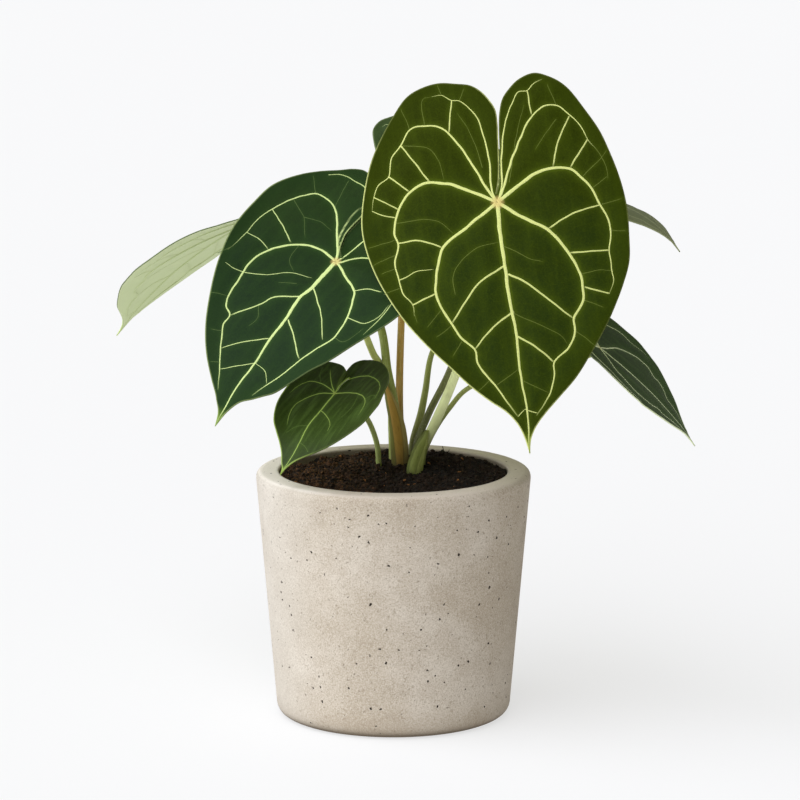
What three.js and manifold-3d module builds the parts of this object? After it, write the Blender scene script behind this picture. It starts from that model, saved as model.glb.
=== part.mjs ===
// A potted Anthurium clarinervium: a thick round pot, soil, a hidden rootstock, eight leaf stalks
// with heart-shaped ribbed leaves, and two dry sheaths round the oldest stalks.
// Millimetres, +Z up. The origin is the centre of the pot's flat base.

import * as THREE from 'three';
import { mergeVertices } from 'three/addons/utils/BufferGeometryUtils.js';
import Module from 'manifold-3d';

const wasm = await Module();
wasm.setup();

// Driving dimensions
const CLEARANCE = 0.3;            // gap kept between neighbouring solids
const ROUND_SEGMENTS = 48;        // facets round the pot and the soil
const CORNER_STEPS = 3;           // points along each rounded corner of the pot

const POT_HEIGHT = 134.5;
const POT_RIM_RADIUS = 74.5;
const POT_FOOT_RADIUS = 64;
const POT_FOOT_ROUND = 8;
const POT_RIM_ROUND = 4;
const POT_LIP_ROUND = 1.5;
const POT_INNER_RADIUS = 62;      // inside, at the rim
const POT_WELL_RADIUS = 53;       // inside, just above the floor
const POT_WELL_ROUND = 4;
const POT_FLOOR = 14;

const SOIL_LEVEL = 132.3;
const SOIL_RINGS = 10;
const CLOD_COUNT = 70;
const CLOD_SEED = 11;
const CLOD_SPREAD = [2.5, 5.5];   // least and most
const CLOD_HEIGHT = [-0.6, 1.3];
// centre x, centre y, height and spread of the broad rises of the soil
const SOIL_RISES = [
  [4, 25, 2.5, 11],
  [30, 50, 1.2, 9],
  [-8, -52, -1.6, 22],
  [-44, 38, -2.0, 13],
];

const ROOT_CENTRE = [5, 24];
const ROOT_TOP = 112;
const ROOT_RADIUS = 19;
const ROOT_DEPTH = 27;
const ROOT_COUNT = 7;
const ROOT_LENGTH = 44;
const ROOT_DROP = [26, 60];       // least and most that a root goes down
const ROOT_BASE_RADIUS = 3.4;
const ROOT_TIP_RADIUS = 1.0;
const ROOT_SEED = 5;
const ROOT_SIDES = 5;
const ROOT_STEPS = 5;
const TUBER_SEGMENTS = 20;

const STALK_SIDES = 8;
const STALK_STEPS = 13;
const STALK_APPROACH = 12;        // length of a stalk's last stretch, square to its blade
const STALK_TAPER = 1.4;          // over 1, so a stalk has its last radius before its end

const BLADE_THICKNESS = 0.9;
const BOSS_HEIGHT = 1.6;          // swelling under the blade where its stalk meets it
const RIB_HEIGHT = 1.3;           // ribs under the blade, near the stalk
const RIB_FADE = 0.75;            // how much of that height is gone at the margin
const VEIN_GROOVE = 0.2;          // the same veins lie this deep on the upper face
const RIB_HALF_WIDTH = [1.5, 0.7];
const RIB_SHARE = 0.3;            // but no more than this share of the way to the next vein
const PUFF = 0.9;                 // how far the blade swells up between two veins
const LARGE_BLADE = 0.8;          // blades over this size get narrow ribs
const LARGE_MARGIN_STEP = 18;     // distance between points of the margin
const SMALL_MARGIN_STEP = 12;
const TIP_STEPS = 2;              // at least this many points between the last vein and the tip
const LOBE_START = -70;           // a half's lobe factor grows in from this height of the drawing
const LOBE_END = 20;              // and is fully there at this one

const material = (name, color, roughness, metalness = 0) =>
  new THREE.MeshStandardMaterial({ name, color, roughness, metalness, side: THREE.DoubleSide });

const materials = {
  pot: material('cast_pot', 0xc9c2b4, 0.9),
  soil: material('soil', 0x2b1f18, 1),
  root: material('rootstock', 0x8a6a48, 0.9),
  stalk: material('stalk', 0x7f8f3c, 0.55),
  blade: material('blade', 0x2f4a1e, 0.6),
  sheath: material('dry_sheath', 0x8a5a30, 0.8),
};

// Leaf outlines and main veins, drawn flat in millimetres at full size.
// The stalk's joint is at 0,0, the tip points down and the two lobes point up.
// An outline runs from the foot of the notch between the lobes, over the lobe, down to the tip.
const BROAD_HEART = {
  left: {
    outline: [[0, 7], [2, 24], [4, 38], [4.5, 48], [1, 58], [-5, 65], [-12, 69], [-21, 71],
      [-30, 70], [-39, 66], [-48, 56], [-59, 40], [-71, 9], [-73, -4], [-72, -17], [-65, -41],
      [-57, -57], [-46, -73], [-28, -95], [-11, -111], [-5, -119], [-2, -126], [0, -135]],
    veins: [
      [[-1, 20], [-2, 37], [-8, 55], [-16, 61], [-30, 70]],
      [[-10, 22], [-19, 40], [-32, 48], [-46, 40], [-57, 22], [-73, -4]],
      [[-15, 9], [-36, 16], [-51, 6], [-56, -12], [-57, -35], [-54, -62]],
      [[-18, -11], [-36, -30], [-37, -53], [-23, -76], [-14, -98], [-7, -116]],
    ],
  },
  right: {
    outline: [[0, 7], [4, 24], [6, 38], [7, 46], [10, 54], [14, 60], [21, 67], [30, 70],
      [38, 67], [46, 60], [54, 46], [60, 33], [64, 18], [67, 2], [68, -12], [67, -26],
      [65, -40], [60, -52], [47, -74], [28, -98], [9, -115], [4, -121], [1, -127], [0, -135]],
    veins: [
      [[6, 22], [10, 42], [16, 53], [24, 62], [32, 70]],
      [[10, 20], [25, 45], [37, 50], [48, 41], [56, 26], [67, 2]],
      [[13, 8], [31, 15], [47, 7], [57, -18], [55, -41], [59, -54]],
      [[11, -9], [30, -26], [38, -48], [31, -70], [17, -95], [7, -117]],
    ],
  },
  midrib: [[-1, -31], [-1, -57], [0, -89], [0, -135]],
};

const NARROW_HEART = {
  left: {
    outline: [[0, 6], [-6, 14], [-9, 26], [-12, 42], [-16, 54], [-20, 62], [-26, 67], [-33, 68], [-41, 64],
      [-49, 56], [-61, 40], [-70, 20], [-72, 2], [-71, -12], [-68, -29], [-62, -43], [-46, -77],
      [-31, -99], [-14, -117], [-6, -124], [-2, -129], [0, -135]],
    veins: [
      [[-13, 24], [-18, 40], [-24, 53], [-33, 60], [-43, 62]],
      [[-13, 18], [-31, 33], [-47, 35], [-58, 16], [-62, -10], [-65, -37]],
      [[-16, 2], [-33, -6], [-44, -30], [-42, -58], [-29, -85], [-9, -121]],
    ],
  },
  right: {
    outline: [[0, 6], [-4.4, 15], [-7, 27], [-9, 40], [-5, 55], [6, 66], [20, 70], [32, 69], [44, 62],
      [55, 50], [64, 34], [69, 16], [71, 0], [70, -17], [66, -28], [55, -52], [41, -75],
      [27, -98], [15, -108], [8, -114], [3, -123], [0, -135]],
    veins: [
      [[2, 14], [5, 38], [16, 56], [30, 62], [44, 62]],
      [[15, 12], [34, 18], [50, 10], [60, -10], [60, -28], [61, -39]],
      [[17, -8], [32, -21], [39, -47], [31, -70], [20, -92], [9, -113]],
    ],
  },
  midrib: [[-1, -33], [2, -69], [0, -104], [0, -135]],
};

const SQUAT_HEART = {
  left: {
    outline: [[-1, 6], [-6, 20], [-11, 35], [-16, 44], [-25, 50], [-35, 51], [-43, 48], [-55, 27],
      [-60, 9], [-64, -5], [-63, -20], [-60, -37], [-51, -64], [-41, -78], [-29, -88], [-19, -100],
      [-9, -115], [-1, -136]],
    veins: [
      [[-8, 8], [-18, 20], [-26, 33], [-37, 50]],
      [[-22, 9], [-38, 10], [-50, -4], [-54, -24], [-58, -44]],
      [[-12, -4], [-33, -18], [-40, -42], [-33, -66], [-20, -88], [-8, -117]],
    ],
  },
  right: {
    outline: [[-1, 6], [-3, 20], [-7, 35], [-11, 47], [-13, 60], [-8, 69], [2, 74], [18, 71], [38, 59],
      [55, 44], [70, 23], [78, 4], [83, -14], [86, -29], [85, -42], [79, -57], [66, -70], [51, -86],
      [36, -97], [20, -110], [8, -120], [-1, -136]],
    veins: [
      [[1, 12], [1, 30], [8, 41], [22, 42], [42, 36], [61, 37]],
      [[12, 5], [28, 8], [49, 0], [60, -20], [68, -44], [72, -65]],
      [[14, -8], [32, -26], [40, -50], [33, -72], [20, -94], [7, -121]],
    ],
  },
  midrib: [[0, -33], [-3, -68], [-1, -104], [-1, -136]],
};

// Each leaf: where its joint is, which way its tip points (heading round +Z, droop below level and
// roll, in degrees), how large it is, and how it bends (per millimetre): arch curls it toward the
// tip, lobeArch toward the lobes, cup rolls it across.
// A leaf may have its left and right half widened by broad, and its two lobes slimmed by lobes.
const LEAVES = [
  { shape: BROAD_HEART, at: [54.8, -36, 285.1], heading: -69, droop: 67, roll: -19, size: 0.996,
    arch: 0.0022, lobeArch: 0.0025, cup: 0.0025 },
  { shape: NARROW_HEART, at: [-30.8, -6, 249], heading: -140, droop: 33, roll: 24, size: 0.832,
    arch: 0.0045, lobeArch: -0.001, cup: -0.004 },
  { shape: SQUAT_HEART, at: [-31.2, -28, 181.1], heading: -128, droop: 30, roll: 4, size: 0.43,
    arch: 0.0025, lobeArch: 0.001, cup: -0.004, approach: 8 },
  { shape: BROAD_HEART, at: [-81.3, 108, 255.3], heading: 144, droop: 25.3, roll: 5, size: 0.947,
    arch: 0.003, lobeArch: 0.003, cup: -0.0004 },
  { shape: BROAD_HEART, at: [25.8, 64, 296.2], heading: -25, droop: 44, roll: -30, size: 0.526,
    arch: 0.003, lobeArch: 0.002, cup: 0 },
  { shape: BROAD_HEART, at: [104.5, 30, 278.5], heading: -14, droop: 0.5, roll: 2, size: 0.455,
    arch: 0.007, lobeArch: 0.003, cup: 0.0045 },
  { shape: BROAD_HEART, at: [112.1, 20, 197.8], heading: 8.1, droop: 37.2, roll: -22.4, size: 0.588,
    arch: 0.0024, lobeArch: 0.002, cup: -0.002, broad: [0.77, 0.98], lobes: [0.5, 0.88],
    approach: 5 },
  { shape: BROAD_HEART, at: [45, 86, 224], heading: 85, droop: 30, roll: 0, size: 0.56,
    arch: 0.003, lobeArch: 0.003, cup: 0.001 },
];

// Each stalk: its route from the rootstock up to just before its blade, and its radius at the foot
// and at the blade. Stalk n carries leaf n.
const STALKS = [
  { route: [[12, 12, 112.3], [12, 12.5, 130], [14, 12, 140], [22, 8, 157], [33, 0, 185],
    [46, -9, 225], [52, -14, 260]], radius: [3.1, 2.2], sides: 10 },
  { route: [[-2, 31, 112.3], [-2, 31, 134], [-3, 30.5, 152], [-3.5, 30, 172], [-8, 27.5, 187],
    [-12, 20, 194], [-16, 13, 206], [-24, 3, 228]], radius: [2.3, 2.0] },
  { route: [[-8, 19, 112.3], [-8, 19, 134], [-9, 14, 146], [-14, 5, 161], [-22, -9, 172]],
    radius: [1.7, 1.4] },
  { route: [[3, 22, 112.3], [3, 22, 134], [2, 21, 155], [0, 21, 170], [-3, 23, 184], [-7, 29, 208],
    [-20, 48, 226], [-42, 74, 236], [-60, 92, 238]], radius: [3.2, 2.2], sides: 10 },
  { route: [[5, 32, 112.3], [5, 32, 134], [3.5, 30, 160], [3.5, 29, 180], [4.5, 30, 213],
    [6, 40, 245], [13, 60, 272]], radius: [2.4, 1.8] },
  { route: [[12, 28, 112.3], [12, 28, 130], [12, 27, 140], [19, 28, 159], [30, 36, 180],
    [41, 42, 208], [51, 46, 236], [72, 42, 257]], radius: [2.2, 1.7] },
  { route: [[17, 20, 112.3], [16, 21, 130], [16.5, 22, 138], [22, 22, 151], [30, 20, 167],
    [41, 18, 177], [74, 18, 187]], radius: [1.8, 1.6] },
  { route: [[11, 37, 112.3], [11, 37, 130], [11, 36, 142], [16, 36, 157], [22, 47, 183],
    [33, 66, 202]],
    radius: [2.0, 1.6] },
];

// The dry sheaths: which stalk each one wraps, the heights where it starts and ends, its inside
// and outside radius, the middle of its wrap (degrees round the stalk, 0 to the right, 90 to the
// back) and how far round it reaches at the foot.
const SHEATHS = [
  { stalk: 3, from: 127, to: 181, inner: 3.6, outer: 4.6, facing: 215, wrap: 240 },
  { stalk: 0, from: 125, to: 152, inner: 3.8, outer: 4.6, facing: 215, wrap: 210 },
];
const SHEATH_STEPS = 9;
const SHEATH_ARC_STEPS = 6;
const SHEATH_TIP = 0.12;          // share of the wrap that is left at its pointed end
const SHEATH_TAPER = 2.2;         // over 1 keeps the sheath wide at first, then narrows it quickly
const HOLE_DEPTH = 3;             // a sheath's hole goes this far below it
const HOLE_RISE = 12;             // and this far above the soil
const HOLE_SIDES = 16;
const HOLE_STEPS = 5;

// Small repeatable random numbers, 0 to 1
function randomFrom(seed) {
  let state = seed;
  return () => {
    state = (state * 16807) % 2147483647;
    return state / 2147483647;
  };
}

const mix = (a, b, t) => a + (b - a) * t;
const vector = ([x, y, z]) => new THREE.Vector3(x, y, z);
const degrees = THREE.MathUtils.degToRad;

function geometryOf(points, triangles) {
  const geometry = new THREE.BufferGeometry();
  const numbers = points.flatMap((p) => [p.x, p.y, p.z]);
  geometry.setAttribute('position', new THREE.Float32BufferAttribute(numbers, 3));
  geometry.setIndex(triangles);
  return geometry;
}

// Manifold solids, for the holes in the soil and the joined roots
function toSolid(geometry) {
  const bare = geometry.clone();
  bare.deleteAttribute('normal');
  bare.deleteAttribute('uv');
  const merged = mergeVertices(bare, 1e-3);
  const index = merged.index.array;
  const triVerts = [];
  for (let i = 0; i < index.length; i += 3) {
    const [a, b, c] = [index[i], index[i + 1], index[i + 2]];
    if (a !== b && b !== c && c !== a) triVerts.push(a, b, c);
  }
  return new wasm.Manifold(new wasm.Mesh({
    numProp: 3,
    vertProperties: new Float32Array(merged.attributes.position.array),
    triVerts: new Uint32Array(triVerts),
  }));
}

function fromSolid(solid) {
  const mesh = solid.getMesh();
  const geometry = new THREE.BufferGeometry();
  geometry.setAttribute('position', new THREE.Float32BufferAttribute(mesh.vertProperties, 3));
  geometry.setIndex(Array.from(mesh.triVerts));
  return geometry;
}

// A closed tube with a round section that tapers along a route
function taperedTube(route, radiusAt, sides, steps) {
  const curve = new THREE.CatmullRomCurve3(route, false, 'centripetal');
  const frames = curve.computeFrenetFrames(steps, false);
  const points = [];
  const triangles = [];
  for (let i = 0; i <= steps; i += 1) {
    const centre = curve.getPointAt(i / steps);
    for (let j = 0; j < sides; j += 1) {
      const angle = (2 * Math.PI * j) / sides;
      const r = radiusAt(i / steps);
      points.push(centre.clone()
        .addScaledVector(frames.normals[i], r * Math.cos(angle))
        .addScaledVector(frames.binormals[i], r * Math.sin(angle)));
    }
  }
  const ring = (i, j) => i * sides + (j % sides);
  for (let i = 0; i < steps; i += 1) {
    for (let j = 0; j < sides; j += 1) {
      triangles.push(ring(i, j), ring(i, j + 1), ring(i + 1, j + 1));
      triangles.push(ring(i, j), ring(i + 1, j + 1), ring(i + 1, j));
    }
  }
  const foot = points.push(curve.getPointAt(0)) - 1;
  const head = points.push(curve.getPointAt(1)) - 1;
  for (let j = 0; j < sides; j += 1) {
    triangles.push(foot, ring(0, j + 1), ring(0, j));
    triangles.push(head, ring(steps, j), ring(steps, j + 1));
  }
  return geometryOf(points, triangles);
}

// The pot: one turned wall with a closed floor, a rounded foot and a rounded rim
function potGeometry() {
  const profile = new THREE.Path();
  profile.moveTo(0, 0);
  profile.lineTo(POT_FOOT_RADIUS - POT_FOOT_ROUND, 0);
  profile.quadraticCurveTo(POT_FOOT_RADIUS, 0, POT_FOOT_RADIUS, POT_FOOT_ROUND);
  profile.lineTo(POT_RIM_RADIUS, POT_HEIGHT - POT_RIM_ROUND);
  profile.quadraticCurveTo(POT_RIM_RADIUS, POT_HEIGHT, POT_RIM_RADIUS - POT_RIM_ROUND, POT_HEIGHT);
  profile.lineTo(POT_INNER_RADIUS + POT_LIP_ROUND, POT_HEIGHT);
  profile.lineTo(POT_INNER_RADIUS, POT_HEIGHT - POT_LIP_ROUND);
  profile.lineTo(POT_WELL_RADIUS, POT_FLOOR + POT_WELL_ROUND);
  profile.lineTo(POT_WELL_RADIUS - POT_WELL_ROUND, POT_FLOOR);
  profile.lineTo(0, POT_FLOOR);
  return new THREE.LatheGeometry(profile.getPoints(CORNER_STEPS), ROUND_SEGMENTS)
    .rotateX(Math.PI / 2);
}

function innerWallRadius(z) {
  const foot = POT_FLOOR + POT_WELL_ROUND;
  const top = POT_HEIGHT - POT_LIP_ROUND;
  return mix(POT_WELL_RADIUS, POT_INNER_RADIUS, (z - foot) / (top - foot));
}

// Clods: seeded round bumps over the whole top of the soil
const clods = [];
const nextClod = randomFrom(CLOD_SEED);
for (let i = 0; i < CLOD_COUNT; i += 1) {
  const angle = 2 * Math.PI * nextClod();
  const radius = POT_INNER_RADIUS * Math.sqrt(nextClod());
  const spread = mix(CLOD_SPREAD[0], CLOD_SPREAD[1], nextClod());
  const height = mix(CLOD_HEIGHT[0], CLOD_HEIGHT[1], nextClod());
  clods.push([radius * Math.cos(angle), radius * Math.sin(angle), height, spread]);
}

function soilHeight(x, y) {
  let z = SOIL_LEVEL;
  for (const [cx, cy, height, spread] of [...SOIL_RISES, ...clods]) {
    const far = ((x - cx) ** 2 + (y - cy) ** 2) / (2 * spread ** 2);
    z += height * Math.exp(-far);
  }
  return z;
}

// The soil fills the pot, with the same facets as the pot's inside
function soilGeometry() {
  const columnAngle = (column) => (2 * Math.PI * column) / ROUND_SEGMENTS;
  const place = (radius, column, z) => {
    const angle = columnAngle(column);
    return new THREE.Vector3(radius * Math.sin(angle), -radius * Math.cos(angle), z);
  };
  const points = [new THREE.Vector3(0, 0, soilHeight(0, 0))];
  const rows = [];
  for (let ring = 1; ring <= SOIL_RINGS; ring += 1) {
    const row = [];
    for (let column = 0; column < ROUND_SEGMENTS; column += 1) {
      const atWall = place(POT_INNER_RADIUS, column, 0);
      const wall = innerWallRadius(soilHeight(atWall.x, atWall.y)) - CLEARANCE;
      const flat = place((wall * ring) / SOIL_RINGS, column, 0);
      flat.z = soilHeight(flat.x, flat.y);
      row.push(points.push(flat) - 1);
    }
    rows.push(row);
  }
  const wellTop = POT_FLOOR + POT_WELL_ROUND;
  const lower = [
    [POT_WELL_RADIUS - CLEARANCE, wellTop],
    [POT_WELL_RADIUS - POT_WELL_ROUND - CLEARANCE, POT_FLOOR + CLEARANCE],
  ];
  for (const [radius, z] of lower) {
    const row = [];
    for (let column = 0; column < ROUND_SEGMENTS; column += 1) {
      row.push(points.push(place(radius, column, z)) - 1);
    }
    rows.push(row);
  }
  const bottom = points.push(new THREE.Vector3(0, 0, POT_FLOOR + CLEARANCE)) - 1;
  const triangles = [];
  const last = rows[rows.length - 1];
  for (let column = 0; column < ROUND_SEGMENTS; column += 1) {
    const next = (column + 1) % ROUND_SEGMENTS;
    triangles.push(0, rows[0][column], rows[0][next]);
    triangles.push(bottom, last[next], last[column]);
    for (let r = 0; r + 1 < rows.length; r += 1) {
      triangles.push(rows[r][column], rows[r + 1][column], rows[r + 1][next]);
      triangles.push(rows[r][column], rows[r + 1][next], rows[r][next]);
    }
  }
  return geometryOf(points, triangles);
}

// The rootstock: a squat tuber with a flat top that carries the stalks, and tapered roots
function rootstockSolid(grow) {
  const [cx, cy] = ROOT_CENTRE;
  const top = ROOT_TOP + grow;
  const profile = new THREE.Path();
  profile.moveTo(0, ROOT_TOP - ROOT_DEPTH - grow);
  profile.quadraticCurveTo(ROOT_RADIUS * 0.8 + grow, ROOT_TOP - ROOT_DEPTH - grow,
    ROOT_RADIUS + grow, ROOT_TOP - ROOT_DEPTH * 0.4);
  profile.quadraticCurveTo(ROOT_RADIUS * 1.1 + grow, top, ROOT_RADIUS + grow, top);
  profile.lineTo(0, top);
  const tuber = new THREE.LatheGeometry(profile.getPoints(CORNER_STEPS - 1), TUBER_SEGMENTS)
    .rotateX(Math.PI / 2)
    .translate(cx, cy, 0);
  let solid = toSolid(tuber);
  const next = randomFrom(ROOT_SEED);
  for (let i = 0; i < ROOT_COUNT; i += 1) {
    const angle = (2 * Math.PI * (i + 0.6 * next())) / ROOT_COUNT;
    const reach = mix(0.75, 1, next()) * ROOT_LENGTH;
    const drop = mix(ROOT_DROP[0], ROOT_DROP[1], next());
    const bend = mix(-0.5, 0.5, next());
    const along = (share, z) => new THREE.Vector3(
      cx * (1 - share) + Math.cos(angle + bend * share) * reach * share,
      cy * (1 - share) + Math.sin(angle + bend * share) * reach * share,
      z,
    );
    const start = ROOT_TOP - ROOT_DEPTH * 0.55;
    const route = [
      along(0.1, start),
      along(0.5, start - 6),
      along(0.85, start - drop * 0.6),
      along(1, start - drop),
    ];
    const radiusAt = (t) => mix(ROOT_BASE_RADIUS, ROOT_TIP_RADIUS, t) + grow;
    solid = solid.add(toSolid(taperedTube(route, radiusAt, ROOT_SIDES, ROOT_STEPS)));
  }
  return solid;
}

// A leaf's own axes: x to the right as seen from above its tip, y back toward the lobes, z up
// from the upper face
function leafAxes({ heading, droop, roll }) {
  const [a, b, g] = [degrees(heading), degrees(droop), degrees(roll)];
  const tip = vector([Math.cos(b) * Math.cos(a), Math.cos(b) * Math.sin(a), -Math.sin(b)]);
  const level = vector([-Math.sin(a), Math.cos(a), 0]);
  const above = vector([Math.sin(b) * Math.cos(a), Math.sin(b) * Math.sin(a), Math.cos(b)]);
  const side = level.clone().multiplyScalar(Math.cos(g)).addScaledVector(above, -Math.sin(g));
  const up = above.multiplyScalar(Math.cos(g)).addScaledVector(level, Math.sin(g));
  return { side, back: tip.negate(), up };
}

// Bends a point of the flat drawing: the blade arches along its length and cups across
function bent(leaf, x, y) {
  const along = -y;
  const curl = along > 0 ? leaf.arch : leaf.lobeArch;
  const angle = curl * along;
  const across = (-leaf.cup * x * x) / 2;
  const reach = Math.sin(angle) / curl + across * Math.sin(angle);
  const height = (Math.cos(angle) - 1) / curl + across * Math.cos(angle);
  return new THREE.Vector3(x, -reach, height).multiplyScalar(leaf.size);
}

function bentNormal(leaf, x, y) {
  const step = 0.5;
  const alongX = bent(leaf, x + step, y).sub(bent(leaf, x - step, y));
  const alongY = bent(leaf, x, y + step).sub(bent(leaf, x, y - step));
  return alongX.cross(alongY).normalize();
}

const flatCurve = (points) =>
  new THREE.CatmullRomCurve3(points.map(([x, y]) => new THREE.Vector3(x, y, 0)), false, 'centripetal');

const flatDistance = (a, b) => Math.hypot(b.x - a.x, b.y - a.y);

function nearestShare(curve, [x, y]) {
  const samples = 240;
  const target = new THREE.Vector3(x, y, 0);
  let best = 0;
  for (let i = 1; i <= samples; i += 1) {
    const nearer = curve.getPointAt(i / samples).distanceTo(target)
      < curve.getPointAt(best).distanceTo(target);
    if (nearer) best = i / samples;
  }
  return best;
}

// How many margin stretches each strip gets: as many as its longer half needs, because the midrib's
// points serve both halves
function marginCounts(leaf) {
  const step = leaf.size > LARGE_BLADE ? LARGE_MARGIN_STEP : SMALL_MARGIN_STEP;
  const [left, right] = [leaf.shape.left, leaf.shape.right].map(({ outline, veins }) => {
    const margin = flatCurve(outline);
    const length = margin.getLength() * leaf.size;
    const ends = veins.map((points) => nearestShare(margin, points[points.length - 1]));
    const shares = [0, ...ends, 1];
    return shares.slice(1).map((share, i) => Math.round(((share - shares[i]) * length) / step));
  });
  const counts = left.map((count, i) => Math.max(1, count, right[i]));
  counts.push(Math.max(TIP_STEPS, counts.pop()));
  return counts;
}

const ribHeight = (leaf, along) => RIB_HEIGHT * Math.sqrt(leaf.size) * (1 - RIB_FADE * along);

// How much wider or slimmer than drawn a half is at a height: its lobe may be slimmer than the rest
const widthAt = (y, broad, lobe) =>
  broad * mix(1, lobe, THREE.MathUtils.smoothstep(y, LOBE_START, LOBE_END));

// One half of a blade, as strips from the notch round to the midrib. Each strip lies between two
// rails that leave the joint together and meet again at the margin: the inner rail is a vein, and
// the outer rail is the vein before it, carried on along the margin. Rungs join the rails, and on
// a large blade the points beside a vein keep its rib narrow.
function halfBlade(leaf, half, [broad, lobe], addPoint, notch, midrib) {
  const counts = marginCounts(leaf);
  const widened = (points) => points.map(([x, y]) => [x * widthAt(y, broad, lobe), y]);
  const margin = flatCurve(widened(half.outline));
  const veins = half.veins.map(widened).map((points) => {
    const share = nearestShare(margin, points[points.length - 1]);
    const end = margin.getPointAt(share);
    return { share, curve: flatCurve([[0, 0], ...points.slice(0, -1), [end.x, end.y]]) };
  });
  veins.push({ share: 1, curve: midrib.curve });
  const marginStretch = (from, to, count) => {
    const stretch = [];
    for (let i = 1; i <= count; i += 1) {
      const isTip = to === 1 && i === count;
      stretch.push(isTip ? midrib.tip : addPoint(margin.getPointAt(mix(from, to, i / count))));
    }
    return stretch;
  };

  const edge = [notch, ...marginStretch(0, veins[0].share, counts[0])];
  let outer = [...edge];
  const strips = [];
  veins.forEach((vein, v) => {
    const isMidrib = v === veins.length - 1;
    const last = outer.length - 1;
    let length = 0;
    const lengths = outer.map((point, i) => {
      length += i === 0 ? Math.hypot(point.x, point.y) : flatDistance(point, outer[i - 1]);
      return length;
    });
    const veinPoint = (point, i) => {
      const along = lengths[i] / length;
      if (i === last) return point;
      return addPoint(vein.curve.getPointAt(along), -VEIN_GROOVE, ribHeight(leaf, along));
    };
    const inner = isMidrib && midrib.rail ? midrib.rail : outer.map(veinPoint);
    if (isMidrib) midrib.rail = inner;
    const between = (place) => outer.map((a, i) => {
      if (i === last) return a;
      const b = inner[i];
      const along = lengths[i] / length;
      const halfRib = mix(RIB_HALF_WIDTH[0], RIB_HALF_WIDTH[1], along);
      const beside = Math.min(halfRib / flatDistance(a, b), RIB_SHARE);
      const share = { outer: beside, middle: 0.5, inner: 1 - beside }[place];
      const swell = place === 'middle' ? PUFF * leaf.size * Math.sin(Math.PI * along) : 0;
      return addPoint({ x: mix(a.x, b.x, share), y: mix(a.y, b.y, share) }, swell, -swell);
    });
    const places = leaf.size > LARGE_BLADE ? ['outer', 'middle', 'inner'] : ['middle'];
    const kept = v === 0 ? places.slice(2) : places;
    strips.push([outer, ...kept.map(between), inner]);
    if (!isMidrib) {
      const stretch = marginStretch(vein.share, veins[v + 1].share, counts[v + 1]);
      edge.push(...stretch);
      outer = [...inner, ...stretch];
    }
  });
  return { strips, edge };
}

// The blade: an upper and a lower skin split alike, and a rim that joins them
function bladeGeometry(leaf) {
  const { shape } = leaf;
  const [leftBroad, rightBroad] = leaf.broad ?? [1, 1];
  const [leftLobe, rightLobe] = leaf.lobes ?? [1, 1];
  const drawn = [];
  const addPoint = ({ x, y }, above = 0, below = 0) => {
    const point = { x, y, above, below, id: drawn.length };
    drawn.push(point);
    return point;
  };
  const joint = addPoint({ x: 0, y: 0 }, 0, BOSS_HEIGHT);
  const [notchX, notchY] = shape.left.outline[0];
  const notch = addPoint({ x: notchX, y: notchY });
  const midribCurve = flatCurve([[0, 0], ...shape.midrib]);
  const midrib = { curve: midribCurve, tip: addPoint(midribCurve.getPointAt(1)) };
  const left = halfBlade(leaf, shape.left, [leftBroad, leftLobe], addPoint, notch, midrib);
  const right = halfBlade(leaf, shape.right, [rightBroad, rightLobe], addPoint, notch, midrib);

  const faces = [];
  const addFace = (a, b, c) => {
    if (a !== b && b !== c && c !== a) faces.push([a.id, b.id, c.id]);
  };
  const fill = (strips, mirrored) => {
    for (const columns of strips) {
      for (let i = 0; i + 1 < columns.length; i += 1) {
        const [c, d] = mirrored ? [columns[i + 1], columns[i]] : [columns[i], columns[i + 1]];
        addFace(joint, c[0], d[0]);
        for (let k = 0; k + 1 < c.length; k += 1) {
          addFace(c[k], c[k + 1], d[k + 1]);
          addFace(c[k], d[k + 1], d[k]);
        }
      }
    }
  };
  fill(left.strips, false);
  fill(right.strips, true);

  const upper = [];
  const lower = [];
  for (const { x, y, above, below } of drawn) {
    const middle = bent(leaf, x, y);
    const normal = bentNormal(leaf, x, y);
    upper.push(middle.clone().addScaledVector(normal, BLADE_THICKNESS / 2 + above));
    lower.push(middle.clone().addScaledVector(normal, -BLADE_THICKNESS / 2 - below));
  }
  const under = drawn.length;
  const triangles = [];
  for (const [a, b, c] of faces) {
    triangles.push(a, b, c);
    triangles.push(under + a, under + c, under + b);
  }
  const rim = [...left.edge, ...right.edge.slice(1, -1).reverse()];
  rim.forEach(({ id }, i) => {
    const next = rim[(i + 1) % rim.length].id;
    triangles.push(id, under + id, under + next);
    triangles.push(id, under + next, next);
  });
  return geometryOf([...upper, ...lower], triangles);
}

// A stalk's full route: it ends square to its blade, just under the boss
function stalkRoute(stalk, leaf) {
  const { up } = leafAxes(leaf);
  const at = vector(leaf.at);
  const approach = leaf.approach ?? STALK_APPROACH;
  const under = BLADE_THICKNESS / 2 + BOSS_HEIGHT + CLEARANCE;
  return [
    ...stalk.route.map(vector),
    at.clone().addScaledVector(up, -approach),
    at.clone().addScaledVector(up, -under),
  ];
}

function stalkGeometry(stalk, leaf, grow = 0) {
  const [foot, head] = stalk.radius;
  const radiusAt = (t) => mix(foot, head, Math.min(1, STALK_TAPER * t)) + grow;
  return taperedTube(stalkRoute(stalk, leaf), radiusAt, stalk.sides ?? STALK_SIDES, STALK_STEPS);
}

const sheathCurve = ({ stalk }) =>
  new THREE.CatmullRomCurve3(stalkRoute(STALKS[stalk], LEAVES[stalk]), false, 'centripetal');

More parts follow.
